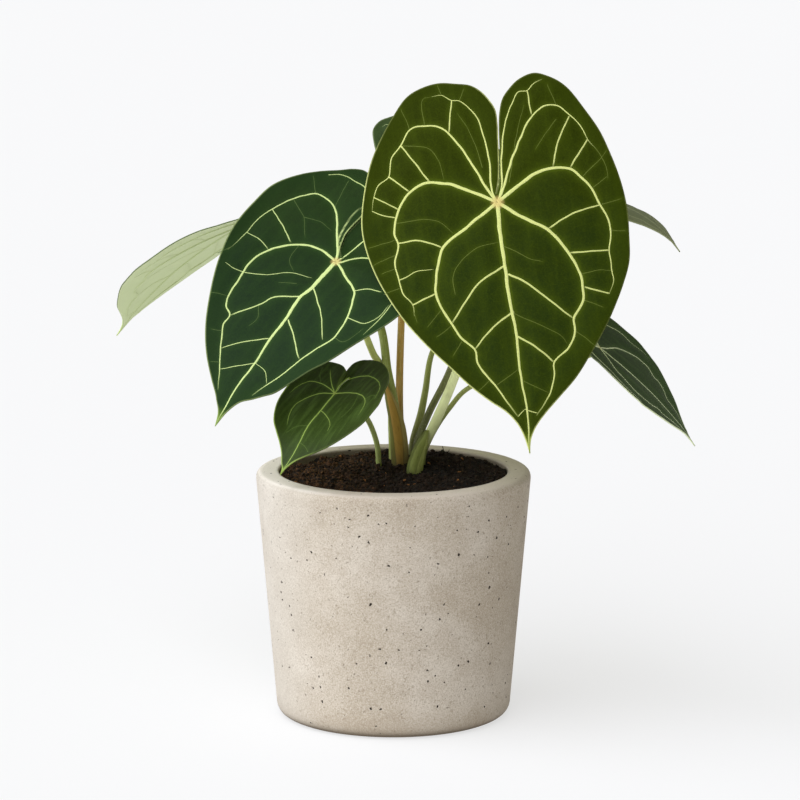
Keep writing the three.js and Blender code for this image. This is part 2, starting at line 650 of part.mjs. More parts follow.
// A sheath: a thin curved shell that follows its stalk and narrows to a point
function sheathGeometry(sheath) {
  const curve = sheathCurve(sheath);
  const centreAt = (z) => {
    let share = 0;
    while (curve.getPointAt(share).z < z) share += 0.001;
    return curve.getPointAt(share);
  };
  const points = [];
  const triangles = [];
  const perRing = 2 * (SHEATH_ARC_STEPS + 1);
  for (let i = 0; i <= SHEATH_STEPS; i += 1) {
    const t = i / SHEATH_STEPS;
    const centre = centreAt(mix(sheath.from, sheath.to, t));
    const wrap = degrees(sheath.wrap) * mix(1, SHEATH_TIP, t ** SHEATH_TAPER);
    for (const radius of [sheath.outer, sheath.inner]) {
      for (let j = 0; j <= SHEATH_ARC_STEPS; j += 1) {
        const turn = radius === sheath.outer ? j : SHEATH_ARC_STEPS - j;
        const angle = degrees(sheath.facing) + wrap * (turn / SHEATH_ARC_STEPS - 0.5);
        const out = vector([radius * Math.cos(angle), radius * Math.sin(angle), 0]);
        points.push(centre.clone().add(out));
      }
    }
  }
  const id = (i, j) => i * perRing + (j % perRing);
  for (let i = 0; i < SHEATH_STEPS; i += 1) {
    for (let j = 0; j < perRing; j += 1) {
      triangles.push(id(i, j), id(i, j + 1), id(i + 1, j + 1));
      triangles.push(id(i, j), id(i + 1, j + 1), id(i + 1, j));
    }
  }
  const inner = (j) => perRing - 1 - j;
  for (let j = 0; j < SHEATH_ARC_STEPS; j += 1) {
    for (const [i, turned] of [[0, true], [SHEATH_STEPS, false]]) {
      const quad = [id(i, j), id(i, j + 1), id(i, inner(j + 1)), id(i, inner(j))];
      const [a, b, c, d] = turned ? quad.reverse() : quad;
      triangles.push(a, b, c, a, c, d);
    }
  }
  return geometryOf(points, triangles);
}

// A plain round hole for a sheathed stalk
function sheathHole(sheath) {
  const curve = sheathCurve(sheath);
  const stretch = [];
  for (let share = 0; share < 1; share += 0.01) {
    const p = curve.getPointAt(share);
    if (p.z > sheath.from - HOLE_DEPTH && p.z < SOIL_LEVEL + HOLE_RISE) stretch.push(p);
  }
  return taperedTube(stretch, () => sheath.outer + CLEARANCE, HOLE_SIDES, HOLE_STEPS);
}

const plant = new THREE.Group();

function addMesh(name, geometry, look) {
  const mesh = new THREE.Mesh(geometry, look);
  mesh.name = name;
  plant.add(mesh);
  return mesh;
}

addMesh('pot', potGeometry(), materials.pot);

let soil = toSolid(soilGeometry()).subtract(rootstockSolid(CLEARANCE));
STALKS.forEach((stalk, i) => {
  soil = soil.subtract(toSolid(stalkGeometry(stalk, LEAVES[i], CLEARANCE)));
});
for (const sheath of SHEATHS) {
  soil = soil.subtract(toSolid(sheathHole(sheath)));
}
addMesh('soil', fromSolid(soil), materials.soil);
addMesh('rootstock', fromSolid(rootstockSolid(0)), materials.root);

LEAVES.forEach((leaf, i) => {
  addMesh(`stalk_${i + 1}`, stalkGeometry(STALKS[i], leaf), materials.stalk);
  const blade = addMesh(`leaf_${i + 1}`, bladeGeometry(leaf), materials.blade);
  const { side, back, up } = leafAxes(leaf);
  blade.position.set(...leaf.at);
  blade.rotation.setFromRotationMatrix(new THREE.Matrix4().makeBasis(side, back, up));
});

SHEATHS.forEach((sheath, i) => {
  addMesh(`sheath_${i + 1}`, sheathGeometry(sheath), materials.sheath);
});

export default plant;
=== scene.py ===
# %% [markdown]
# # A potted Anthurium clarinervium
# A measured model of the plant is already made: a pot, its soil, a rootstock, eight leaf stalks,
# eight leaves and two dry sheaths. It has the right sizes and places, but plain faces. This lesson
# gives every piece its finish, and rebuilds the ones that need finer shapes than the measured
# model has: the blades with their raised pale veins, the soft round stalks and the crumbly soil.

# %% Load the measured model
import math
import random

import bmesh
import bpy
import numpy as np
from mathutils import Matrix, Vector, noise
from mathutils.kdtree import KDTree


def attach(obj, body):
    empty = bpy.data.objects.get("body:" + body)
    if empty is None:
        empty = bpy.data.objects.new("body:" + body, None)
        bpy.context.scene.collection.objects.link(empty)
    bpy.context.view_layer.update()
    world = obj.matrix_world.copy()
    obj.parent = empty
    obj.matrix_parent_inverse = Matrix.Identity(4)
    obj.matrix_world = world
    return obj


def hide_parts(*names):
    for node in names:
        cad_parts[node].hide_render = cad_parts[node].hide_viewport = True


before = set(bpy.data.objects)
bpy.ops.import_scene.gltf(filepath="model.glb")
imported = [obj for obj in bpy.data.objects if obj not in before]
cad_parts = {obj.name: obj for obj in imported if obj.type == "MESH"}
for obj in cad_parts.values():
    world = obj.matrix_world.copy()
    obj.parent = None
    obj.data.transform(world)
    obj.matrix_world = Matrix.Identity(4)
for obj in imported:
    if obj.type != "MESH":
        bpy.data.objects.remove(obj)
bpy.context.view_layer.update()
MM = 0.001
print("the measured model has", len(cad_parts), "nodes")

# %% [markdown]
# ## The camera
# A long lens from two metres away keeps the pot's sides nearly parallel, as a product photograph
# does. The camera looks down by about ten degrees, so that the rim shows as a flat ellipse.

# %% Camera
CAMERA_DISTANCE = 2100 * MM
CAMERA_HEIGHT = 560 * MM
CAMERA_LOOKS_DOWN = math.radians(10.45)
LENS = 177.7
SIDE_SHIFT = 0.0082

camera_data = bpy.data.cameras.new("camera")
camera_data.lens = LENS
camera_data.sensor_width = 36
camera_data.shift_x = SIDE_SHIFT
camera_data.clip_end = 60
camera = bpy.data.objects.new("camera", camera_data)
camera.location = (0, -CAMERA_DISTANCE, CAMERA_HEIGHT)
camera.rotation_euler = (math.pi / 2 - CAMERA_LOOKS_DOWN, 0, 0)
bpy.context.scene.collection.objects.link(camera)
bpy.context.scene.camera = camera
print("camera looks down by", round(math.degrees(CAMERA_LOOKS_DOWN), 2), "degrees")

# %% [markdown]
# ## Light
# The picture is lit like a shop photograph: one very large soft light from the upper left, in
# front, and a weak white room all round. The room is the world's own colour. The large light is a
# sun with a very wide angle, because a sun lights the floor evenly from edge to edge.

# %% Light
ROOM_LIGHT = 0.25
ROOM_COLOUR = (1.0, 0.945, 0.86, 1)
KEY_STRENGTH = 4.4
KEY_COLOUR = (1.0, 1.03, 1.1)
KEY_WIDTH = math.radians(100)
KEY_FROM = Vector((-0.75, -0.45, 0.6))

scene = bpy.context.scene
scene.view_settings.view_transform = "Standard"
room = bpy.data.worlds.new("white_room")
room.use_nodes = True
room.node_tree.nodes["Background"].inputs["Color"].default_value = ROOM_COLOUR
room.node_tree.nodes["Background"].inputs["Strength"].default_value = ROOM_LIGHT
scene.world = room

key_data = bpy.data.lights.new("key_light", "SUN")
key_data.energy = KEY_STRENGTH
key_data.angle = KEY_WIDTH
key_data.color = KEY_COLOUR
key = bpy.data.objects.new("key_light", key_data)
key.rotation_euler = KEY_FROM.to_track_quat("Z", "Y").to_euler()
scene.collection.objects.link(key)
print("room light", ROOM_LIGHT, "and key light", KEY_STRENGTH)

# %% [markdown]
# ## Writing materials as sums
# A material is a small program made of nodes. It reads best when it is written as sums, such as
# `1 - mask * 0.5`. The class `Wire` stands for one number or colour on its way through the nodes,
# and each sum on it adds the node that works it out. `Recipe` is one material.

# %% A shorthand for materials
class Wire:
    """One number or colour on its way through a material."""

    def __init__(self, recipe, socket):
        self.recipe = recipe
        self.socket = socket

    def __add__(self, other):
        return self.recipe.maths("ADD", self, other)

    def __sub__(self, other):
        return self.recipe.maths("SUBTRACT", self, other)

    def __rsub__(self, other):
        return self.recipe.maths("SUBTRACT", other, self)

    def __mul__(self, other):
        return self.recipe.maths("MULTIPLY", self, other)

    __radd__ = __add__
    __rmul__ = __mul__


class Recipe:
    """One material, with a node for each step."""

    def __init__(self, name):
        self.material = bpy.data.materials.new(name)
        self.material.use_nodes = True
        self.tree = self.material.node_tree
        self.shader = self.tree.nodes["Principled BSDF"]

    def node(self, kind, inputs, output=0, stops=None, **settings):
        made = self.tree.nodes.new("ShaderNode" + kind)
        for setting, value in settings.items():
            setattr(made, setting, value)
        if stops:
            ramp = made.color_ramp.elements
            while len(ramp) < len(stops):
                ramp.new(1)
            for mark, (place, colour) in zip(ramp, stops):
                mark.position = place
                mark.color = paint(*colour)
        for socket, value in inputs.items():
            self.plug(made.inputs[socket], value)
        return Wire(self, made.outputs[output])

    def plug(self, socket, value):
        if isinstance(value, Wire):
            self.tree.links.new(value.socket, socket)
        else:
            socket.default_value = value

    def maths(self, operation, first, second=0.0):
        return self.node("Math", {0: first, 1: second}, operation=operation)

    def mix(self, share, first, second):
        """Two colours mixed. Each is a wire, or red, green and blue from 0 to 255."""
        ends = [each if isinstance(each, Wire) else paint(*each) for each in (first, second)]
        return self.node("Mix", {0: share, 6: ends[0], 7: ends[1]}, output=2, data_type="RGBA")

    def between(self, value, low, high):
        """0 where the value is under low, 1 where it is over high, and smooth in between."""
        inputs = {0: value, 1: low, 2: high, 3: 0.0, 4: 1.0}
        return self.node("MapRange", inputs, interpolation_type="SMOOTHSTEP")

    def tinted(self, colour, field, low, high, share, tint):
        """The colour, with a share of the tint where the field rises from low to high."""
        return self.mix(self.between(field, low, high) * share, colour, tint)

    def attribute(self, name):
        return self.node("Attribute", {}, output="Fac", attribute_name=name)

    def place(self):
        return self.node("TexCoord", {}, output="Object")

    def axis(self, letter):
        """How far along X, Y or Z each point lies, in metres."""
        return self.node("SeparateXYZ", {0: self.place()}, output=letter)

    def grain(self, size, detail=2.0, stretch=None, where=None, roughness=0.5):
        """Soft random patches about size metres across, from 0 to 1."""
        where = where or self.place()
        if stretch:
            where = self.node("Mapping", {"Vector": where, "Scale": stretch})
        inputs = {"Vector": where, "Scale": 1 / size, "Detail": detail, "Roughness": roughness}
        return self.node("TexNoise", inputs, output="Fac")

    def finish(self, **sockets):
        for name, value in sockets.items():
            self.plug(self.shader.inputs[name.replace("_", " ")], value)
        return self.material

    def bumped(self, height, distance, strength=1.0):
        inputs = {"Height": height, "Distance": distance, "Strength": strength}
        return self.node("Bump", inputs, output="Normal")


def paint(red, green, blue):
    """A colour as it looks on a screen, from 0 to 255, as the linear colour that Blender wants."""
    levels = [level / 255 for level in (red, green, blue)]
    return (*[x / 12.92 if x <= 0.04045 else ((x + 0.055) / 1.055) ** 2.4 for x in levels], 1)


print("a mid grey of 128 is", round(paint(128, 128, 128)[0], 3), "in linear light")

# %% [markdown]
# ## Shared helpers for shapes
# Three helpers do most of the modelling. `smooth_line` turns a few points into a smooth curve.
# `moved_grid` makes a grid and moves each of its points, which gives the soil, the stalks and the
# sheaths. `piece` hands a finished mesh to the scene, hides the measured nodes it stands for, and
# lets it ride on the plant's one body.

# %% Helpers for shapes
def smooth_line(points, step):
    """Points about a step apart on a smooth curve through the given ones."""
    given = [np.array(point, float) for point in points]
    ends = [2 * given[0] - given[1], *given, 2 * given[-1] - given[-2]]
    line = []
    for before, start, end, after in zip(ends, ends[1:], ends[2:], ends[3:]):
        sides = ((before, start), (start, end), (end, after))
        gap = [max(np.linalg.norm(b - a) ** 0.5, 1e-4) for a, b in sides]
        leaving = (start - before) / gap[0] - (end - before) / (gap[0] + gap[1]) + (end - start) / gap[1]
        arriving = (end - start) / gap[1] - (after - start) / (gap[1] + gap[2]) + (after - end) / gap[2]
        count = max(1, round(np.linalg.norm(end - start) / step))
        for i in range(count):
            t = i / count
            line.append(
                start * (2 * t**3 - 3 * t**2 + 1)
                + leaving * gap[1] * (t**3 - 2 * t**2 + t)
                + end * (3 * t**2 - 2 * t**3)
                + arriving * gap[1] * (t**3 - t**2)
            )
    return np.array([*line, given[-1]])


def length_of(line):
    """How long a line is."""
    return np.linalg.norm(np.diff(line, axis=0), axis=1).sum()


def sampled(line, count):
    """Count + 1 points spaced evenly along a line."""
    lengths = np.concatenate([[0], np.cumsum(np.linalg.norm(np.diff(line, axis=0), axis=1))])
    wanted = np.linspace(0, lengths[-1], count + 1)
    return np.stack([np.interp(wanted, lengths, line[:, k]) for k in range(line.shape[1])], 1)


def moved_grid(along, across, place, around=None):
    """A grid with each point moved to place(u, v), for u and v from 0 to 1.

    If around is given, each point keeps u as its "rise" and around(v) as its "around".
    """
    mesh = bmesh.new()
    layers = [mesh.verts.layers.float.new(name) for name in ("rise", "around") if around]
    for vert in bmesh.ops.create_grid(mesh, x_segments=along, y_segments=across, size=0.5)["verts"]:
        u, v = vert.co.x + 0.5, vert.co.y + 0.5
        if around:
            vert[layers[0]], vert[layers[1]] = u, around(v)
        vert.co = place(u, v)
    return mesh


def piece(name, mesh_data, materials, replaced=(), smooth=True):
    """A finished mesh as a piece of the plant, with the nodes it stands for."""
    made = bpy.data.objects.new(name, mesh_data)
    for material in materials:
        mesh_data.materials.append(material)
    if smooth:
        mesh_data.polygons.foreach_set("use_smooth", [True] * len(mesh_data.polygons))
    scene.collection.objects.link(made)
    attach(made, "root")
    if replaced:
        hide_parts(*replaced)
    triangles = sum(len(face.vertices) - 2 for face in mesh_data.polygons)
    print(name, "has", triangles, "triangles")
    return made


def as_data(mesh, name):
    """A bmesh as mesh data. The bmesh itself is let go."""
    data = bpy.data.meshes.new(name)
    mesh.to_mesh(data)
    mesh.free()
    return data


def closed(mesh, name):
    """A bmesh as mesh data, with its seams merged and its faces turned outwards."""
    bmesh.ops.remove_doubles(mesh, verts=mesh.verts, dist=1e-6)
    bmesh.ops.recalc_face_normals(mesh, faces=mesh.faces)
    return as_data(mesh, name)


def keep_on_points(data, **fields):
    """Keeps numbers on a mesh for its material: one for each point, or one for all of them."""
    for name, values in fields.items():
        filled = (np.asarray(values) + np.zeros(len(data.vertices))).astype(np.float32)
        data.attributes.new(name, "FLOAT", "POINT").data.foreach_set("value", filled)


# %% [markdown]
# ## The floor
# The floor is one wide pale plane. It isn't part of the plant, so it stays apart from the plant's
# body. It glows a little, like a light table, which keeps the plant's shadow faint.

# %% Floor
FLOOR_REACH = 16.0
FLOOR_GLOW = 0.65
FLOOR_DARKER = (143, 143, 143)
FLOOR_LIGHTER = (145, 145, 145)

floor_mesh = bmesh.new()
bmesh.ops.create_grid(floor_mesh, x_segments=1, y_segments=1, size=FLOOR_REACH)
floor_data = as_data(floor_mesh, "floor")
floor = bpy.data.objects.new("floor", floor_data)
scene.collection.objects.link(floor)
floor_recipe = Recipe("pale_floor")
floor_tone = floor_recipe.mix(floor_recipe.grain(1.5), FLOOR_DARKER, FLOOR_LIGHTER)
floor_look = floor_recipe.finish(
    Base_Color=floor_tone, Roughness=0.9, Specular_IOR_Level=0.0,
    Emission_Color=(1, 1, 1, 1), Emission_Strength=FLOOR_GLOW,
)
floor_data.materials.append(floor_look)
print("floor reaches", FLOOR_REACH, "metres each way")

# %% [markdown]
# ## The pot
# The pot is cast in a mould: thick walls, a wide flat rim and a rounded foot. Its form is a turned
# one, so its wall is drawn once as a profile and spun round the axis. Boxes or bent sheets could be
# joined up instead, but a spin has no seams. It replaces the measured pot, whose facets would show.

# %% Pot shape
POT_HEIGHT = 134.5
POT_RIM_RADIUS = 74.5
POT_FOOT_RADIUS = 64
POT_FOOT_ROUND = 8
POT_RIM_ROUND = 4
POT_LIP_ROUND = 1.5
POT_INNER_RADIUS = 62
POT_WELL_RADIUS = 53
POT_WELL_ROUND = 4
POT_FLOOR = 14
CORNER_STEPS = 8
WALL_STEPS = 24
TURN_STEPS = 180


def rounded(start, corner, end, steps=CORNER_STEPS):
    """Points of a corner that is rounded as a quadratic curve."""
    shares = [i / steps for i in range(steps + 1)]
    a, b, c = (np.array(point, float) for point in (start, corner, end))
    return [a * (1 - t) ** 2 + b * 2 * t * (1 - t) + c * t**2 for t in shares]


def straight(start, end, steps):
    """Points between two points, without the two themselves."""
    a, b = np.array(start, float), np.array(end, float)
    return [a + (b - a) * i / steps for i in range(1, steps)]


foot_start = (POT_FOOT_RADIUS - POT_FOOT_ROUND, 0)
foot_end = (POT_FOOT_RADIUS, POT_FOOT_ROUND)
rim_start = (POT_RIM_RADIUS, POT_HEIGHT - POT_RIM_ROUND)
rim_end = (POT_RIM_RADIUS - POT_RIM_ROUND, POT_HEIGHT)
lip_start = (POT_INNER_RADIUS + POT_LIP_ROUND, POT_HEIGHT)
lip_end = (POT_INNER_RADIUS, POT_HEIGHT - POT_LIP_ROUND)
well_start = (POT_WELL_RADIUS, POT_FLOOR + POT_WELL_ROUND)
well_end = (POT_WELL_RADIUS - POT_WELL_ROUND, POT_FLOOR)
pot_profile = [
    (0, 0),
    *rounded(foot_start, (POT_FOOT_RADIUS, 0), foot_end),
    *straight(foot_end, rim_start, WALL_STEPS),
    *rounded(rim_start, (POT_RIM_RADIUS, POT_HEIGHT), rim_end),
    *rounded(lip_start, (POT_INNER_RADIUS, POT_HEIGHT), lip_end),
    *straight(lip_end, well_start, WALL_STEPS),
    *rounded(well_start, (POT_WELL_RADIUS, POT_FLOOR), well_end),
    (0, POT_FLOOR),
]


def turned(profile, steps):
    """A profile of radius and height in millimetres, spun once round the pot's axis."""
    mesh = bmesh.new()
    verts = [mesh.verts.new((radius * MM, 0, height * MM)) for radius, height in profile]
    edges = [mesh.edges.new(pair) for pair in zip(verts, verts[1:])]
    bmesh.ops.spin(
        mesh, geom=verts + edges, axis=(0, 0, 1), cent=(0, 0, 0),
        angle=2 * math.pi, steps=steps, use_merge=True,
    )
    return mesh


pot_data = closed(turned(pot_profile, TURN_STEPS), "cast_pot")
print("the pot has", len(pot_data.polygons), "faces")

# %% [markdown]
# ## The pot's skin
# A sandy mineral mix shows soft clouds, fine grains and many pinholes where air was caught. Noise
# at three sizes gives the clouds and grains. The pinholes are cells of a Voronoi pattern: a few are
# chosen by lot, and each gets a hole of its own size, painted dark as the shade inside it. Painted
# light makes the rim's top and the pot's left side paler, and painted shade darkens the rim's right
# side.

# %% Pot material
# How many cells there are to a metre, and how far and how finely the holes' edges are pushed about
LARGE_HOLES = 190.0
SMALL_PORES = 480.0
HOLE_RAGGEDNESS = 0.0022
RAGGED_FINENESS = 900.0


def pinholes(recipe, scale, share, smallest, spread):
    """Ragged holes in a scatter of cells: 1 in a hole. Sizes are shares of a cell."""
    ragged = recipe.node("TexNoise", {"Vector": recipe.place(), "Scale": RAGGED_FINENESS}, output="Color")
    pushed = recipe.node("VectorMath", {0: ragged, "Scale": HOLE_RAGGEDNESS}, operation="SCALE")
    where = recipe.node("VectorMath", {0: recipe.place(), 1: pushed}, operation="ADD")
    cells = {"Vector": where, "Scale": scale, "Randomness": 1.0}
    far = recipe.node("TexVoronoi", cells, output="Distance")
    lots = recipe.node("TexVoronoi", cells, output="Color")
    lot = recipe.node("SeparateColor", {0: lots})
    chosen = recipe.maths("LESS_THAN", recipe.node("SeparateColor", {0: lots}, output="Green"), share)
    size = lot * spread + smallest
    return (1 - recipe.between(far, size * 0.8, size)) * chosen


def pot_material():
    """Sandy cast mineral: clouds, grains, a darker inside, painted light and shade on the rim, a painted
    lit left side and painted shade in the holes.
    """
    recipe = Recipe("cast_mineral")
    broad = recipe.grain(0.05, detail=3)
    cloud = recipe.grain(0.014, detail=4, roughness=0.6)
    sand = recipe.grain(0.0008, detail=3, roughness=0.8)
    speck = recipe.grain(0.0018, detail=2)
    hole = pinholes(recipe, LARGE_HOLES, 0.8, 0.06, 0.09)
    pore = pinholes(recipe, SMALL_PORES, 0.4, 0.08, 0.15)
    height, aside = recipe.axis("Z"), recipe.axis("X")
    foot = 1 - recipe.between(height, 0.0, 0.02)
    rim = recipe.between(height, 0.1328, 0.1343)
    level = recipe.node("VectorMath", {0: recipe.place(), 1: (1, 1, 0)}, operation="MULTIPLY")
    radius = recipe.node("VectorMath", {0: level}, output="Value", operation="LENGTH")
    inside = (1 - recipe.between(radius, 0.0615, 0.0645)) * (1 - rim * 0.55)
    # Painted light: the pot's left side, which faces the key light, is painted paler.
    lit_side = 1 - recipe.between(aside + (broad - 0.5) * 0.03, -0.072, -0.03)
    # Painted shade on the rim: 0 on its lit left side, 1 on its shaded right side.
    rim_shaded_side = recipe.between(aside + (cloud - 0.5) * 0.04, -0.055, -0.02)
    colour = recipe.mix(recipe.between(broad, 0.35, 0.65), (180, 168, 150), (196, 186, 171))
    colour = recipe.tinted(colour, cloud, 0.35, 0.7, 0.4, (164, 150, 131))
    colour = recipe.mix((1 - recipe.between(sand, 0.36, 0.5)) * 0.5, colour, (140, 127, 108))
    colour = recipe.tinted(colour, sand, 0.5, 0.66, 0.5, (214, 206, 193))
    colour = recipe.tinted(colour, speck, 0.6, 0.72, 0.4, (134, 120, 101))
    colour = recipe.mix(foot * 0.3, colour, (150, 134, 112))
    colour = recipe.mix(lit_side * 0.35, colour, (206, 203, 196))
    # Painted light on the rim's top: it is painted pale, palest on the left where the key light falls and
    # darker on the right in painted shade.
    colour = recipe.mix(rim * 0.75, colour, recipe.mix(rim_shaded_side, (230, 222, 212), (196, 185, 171)))
    colour = recipe.mix(inside * 0.85, colour, (86, 74, 58))
    # Painted shade: pores and pinholes are painted dark for the shade inside them, and the bump below dents
    # them.
    colour = recipe.mix(pore * 0.45, colour, (112, 99, 82))
    colour = recipe.mix(hole, colour, (44, 37, 30))
    relief = sand * 0.45 + cloud * 0.5 - hole * 2.5 - pore * 0.6
    return recipe.finish(
        Base_Color=colour,
        Roughness=0.86 + sand * 0.1,
        Specular_IOR_Level=0.25,
        Normal=recipe.bumped(relief, 0.0004, 0.8),
    )


piece("cast_pot", pot_data, [pot_material()], ["pot"])

# %% [markdown]
# ## The soil
# Potting mix is dark, moist and full of crumbs, with bark and fibres in it. Its top is a ring grid
# that is lifted by a few broad rises and by noise at several sizes. Thousands of loose crumbs then
# lie on it. Each crumb is a rough ball with only twenty faces, because nobody looks at one alone.

# %% Soil surface
SOIL_TOP = 131.7
SOIL_WALL_TOP = 130.3
SOIL_CLEARANCE = 0.3
# Centre x, centre y, height and spread of each broad rise or pit
SOIL_RISES = [
    (4, 25, 2.5, 11), (30, 50, 1.2, 9), (-8, -52, -1.6, 22), (-44, 38, -2.0, 13), (12, 1, -2.4, 6),
    (2, 12, -2.6, 5),
]
# Size and height of each noise, from clods to grains
SOIL_NOISES = [(10, 1.7), (4.2, 1.7), (1.9, 1.0), (0.9, 0.4)]
SOIL_RINGS = 96
SOIL_COLUMNS = 300
TOP_SHARE = 0.9
SOIL_TAPER = 9
SOIL_FLOOR_RADIUS = 52.4
CORNER_SHARE = 0.2
WALL_SHARE = 0.6


def soil_height(x, y):
    """The height of the soil in millimetres, without its crumbs."""
    z = SOIL_TOP
    for centre_x, centre_y, height, spread in SOIL_RISES:
        z += height * math.exp(-((x - centre_x) ** 2 + (y - centre_y) ** 2) / (2 * spread**2))
    for size, height in SOIL_NOISES:
        z += height * noise.noise(Vector((x / size, y / size, size)))
    return z


def soil_place(u, v):
    """A point of the soil: out from the middle, down the wall, and back to the middle below."""
    turn = 2 * math.pi * v
    wall_top = POT_INNER_RADIUS - SOIL_CLEARANCE
    if u <= TOP_SHARE:
        radius = wall_top * u / TOP_SHARE
        x, y = radius * math.sin(turn), -radius * math.cos(turn)
        return Vector((x, y, soil_height(x, y))) * MM
    down = (u - TOP_SHARE) / (1 - TOP_SHARE)
    radius = min(wall_top - SOIL_TAPER * down, SOIL_FLOOR_RADIUS)
    if down >= 1 - CORNER_SHARE:
        radius = SOIL_FLOOR_RADIUS * (1 - down) / CORNER_SHARE
    low = min(1, down / WALL_SHARE)
    height = (1 - low) * SOIL_WALL_TOP + low * (POT_FLOOR + SOIL_CLEARANCE)
    return Vector((radius * math.sin(turn), -radius * math.cos(turn), height)) * MM


def soil_material():
    """Dark mix with paler crumbs. Painted shade darkens its right side and dims the crumbs there."""
    recipe = Recipe("potting_mix")
    patch = recipe.grain(0.014, detail=4)
    crumb = recipe.grain(0.0015, detail=4, roughness=0.75)
    tone = recipe.attribute("tone")
    # Painted shade: the right side of the soil, away from the key light, is painted darker, and fewer of
    # its crumbs show pale.
    soil_shaded_side = recipe.between(recipe.axis("X") + (patch - 0.5) * 0.07, -0.04, 0.01)
    colour = recipe.mix(recipe.between(patch, 0.35, 0.7), (15, 10, 5), (46, 30, 16))
    colour = recipe.tinted(colour, crumb, 0.5, 0.7, 0.8 - soil_shaded_side * 0.55, (134, 94, 52))
    colour = recipe.tinted(colour, tone, 0.3, 0.95, 0.65 - soil_shaded_side * 0.42, (96, 66, 40))
    colour = recipe.mix(soil_shaded_side * 0.6, colour, (6, 4, 1))
    colour = recipe.tinted(colour, tone, 0.985, 0.998, 0.8, (150, 102, 58))
    return recipe.finish(
        Base_Color=colour,
        Roughness=0.9,
        Specular_IOR_Level=0.25,
        Normal=recipe.bumped(crumb, 0.0008, 0.9),
    )


potting_mix = soil_material()
soil_data = closed(moved_grid(SOIL_RINGS, SOIL_COLUMNS, soil_place), "potting_mix")
keep_on_points(soil_data, tone=0.1)
piece("soil_bed", soil_data, [potting_mix], ["soil"])

# %% [markdown]
# ## The crumbs
# A real mix is never smooth, so loose crumbs and bark fibres are strewn over the bed by chance. All
# of them are copied into one mesh, and each keeps a tone of its own, which makes a few of them pale.

# %% Crumbs on the soil
CRUMB_COUNT = 6600
FIBRE_COUNT = 150
CRUMB_SEED = 21
CRUMB_SHAPES = 5
SMALLEST_CRUMB = 0.3
CRUMB_SPREAD = 1.2
CRUMB_POWER = 2.6
CRUMB_INSET = 1.5
FIBRE_INSET = 4
FIBRE_LIFT = 0.7
# Dry twigs that stand out of the soil: x, y, z, size, lean, turn and tone
STRAY_PIECES = [
    (28, 52, 134, 3.2, -14, 0, 0.7), (30, 51, 133.5, 2.2, 30, 0, 0.7), (-46, 12, 132.6, 2.4, 80, 20, 1.0),
]

chance = random.Random(CRUMB_SEED)


def rough_ball(seed):
    """One crumb: a ball with twenty faces and uneven corners."""
    rough = bmesh.new()
    bmesh.ops.create_icosphere(rough, subdivisions=1, radius=1)
    own = random.Random(seed)
    for vert in rough.verts:
        vert.co *= own.uniform(0.65, 1.25)
    return as_data(rough, "crumb_shape")


def splinter():
    """One bark fibre: a thin three-sided stick, two units long."""
    stick = bmesh.new()
    bmesh.ops.create_cone(stick, cap_ends=True, segments=3, radius1=0.11, radius2=0.07, depth=2)
    return as_data(stick, "fibre_shape")


def scattered(shapes, placements):
    """One bmesh with a copy of a shape at each placement, and a tone for every point."""
    mesh = bmesh.new()
    for shape_number, _, _ in placements:
        mesh.from_mesh(shapes[shape_number])
    tones = []
    every_point = iter(mesh.verts)
    for shape_number, matrix, tone in placements:
        for _, vert in zip(shapes[shape_number].vertices, every_point):
            vert.co = matrix @ vert.co
            tones.append(tone)
    return mesh, tones


def soil_spot(inset):
    """A place on the soil, taken by chance, at least inset from the pot's wall."""
    turn = chance.uniform(0, 2 * math.pi)
    radius = (POT_INNER_RADIUS - inset) * math.sqrt(chance.random())
    return radius * math.sin(turn), -radius * math.cos(turn)


def moved(x, y, z):
    """The matrix that moves something to a place given in millimetres."""
    return Matrix.Translation(Vector((x, y, z)) * MM)


def crumb_placement():
    """Shape, matrix and tone of one crumb. Small crumbs are far more common than large ones."""
    x, y = soil_spot(CRUMB_INSET)
    size = SMALLEST_CRUMB + CRUMB_SPREAD * chance.random() ** CRUMB_POWER
    spin = Matrix.Rotation(chance.uniform(0, 6.28), 4, Vector((chance.random(), chance.random(), 1)))
    stretch = [chance.uniform(low, high) for low, high in ((0.7, 1.5), (0.7, 1.1), (0.5, 0.9))]
    height = soil_height(x, y) + size * chance.uniform(0.0, 0.5)
    place = moved(x, y, height) @ spin @ Matrix.Diagonal((*stretch, 1)) @ Matrix.Scale(size * MM, 4)
    return chance.randrange(CRUMB_SHAPES), place, chance.random()


def fibre_placement():
    """Shape, matrix and tone of one fibre that lies on the soil."""
    x, y = soil_spot(FIBRE_INSET)
    size = chance.uniform(0.8, 2.2)
    lean = Matrix.Rotation(math.radians(chance.uniform(65, 95)), 4, "X")
    spin = Matrix.Rotation(chance.uniform(0, 6.28), 4, "Z")
    place = moved(x, y, soil_height(x, y) + FIBRE_LIFT) @ spin @ lean @ Matrix.Scale(size * MM, 4)
    return CRUMB_SHAPES, place, chance.uniform(0.6, 1)


def stray_placement(x, y, z, size, lean, spin, tone):
    """Shape, matrix and tone of one twig that stands out of the soil."""
    turned_by = Matrix.Rotation(math.radians(spin), 4, "Z") @ Matrix.Rotation(math.radians(lean), 4, "Y")
    return CRUMB_SHAPES, moved(x, y, z) @ turned_by @ Matrix.Scale(size * MM, 4), tone


crumb_shapes = [*(rough_ball(seed) for seed in range(CRUMB_SHAPES)), splinter()]
placements = [crumb_placement() for _ in range(CRUMB_COUNT)]
placements += [fibre_placement() for _ in range(FIBRE_COUNT)]
placements += [stray_placement(*stray) for stray in STRAY_PIECES]
crumb_mesh, crumb_tones = scattered(crumb_shapes, placements)
crumb_data = as_data(crumb_mesh, "crumbs")
keep_on_points(crumb_data, tone=crumb_tones)
piece("soil_crumbs", crumb_data, [potting_mix], smooth=False)

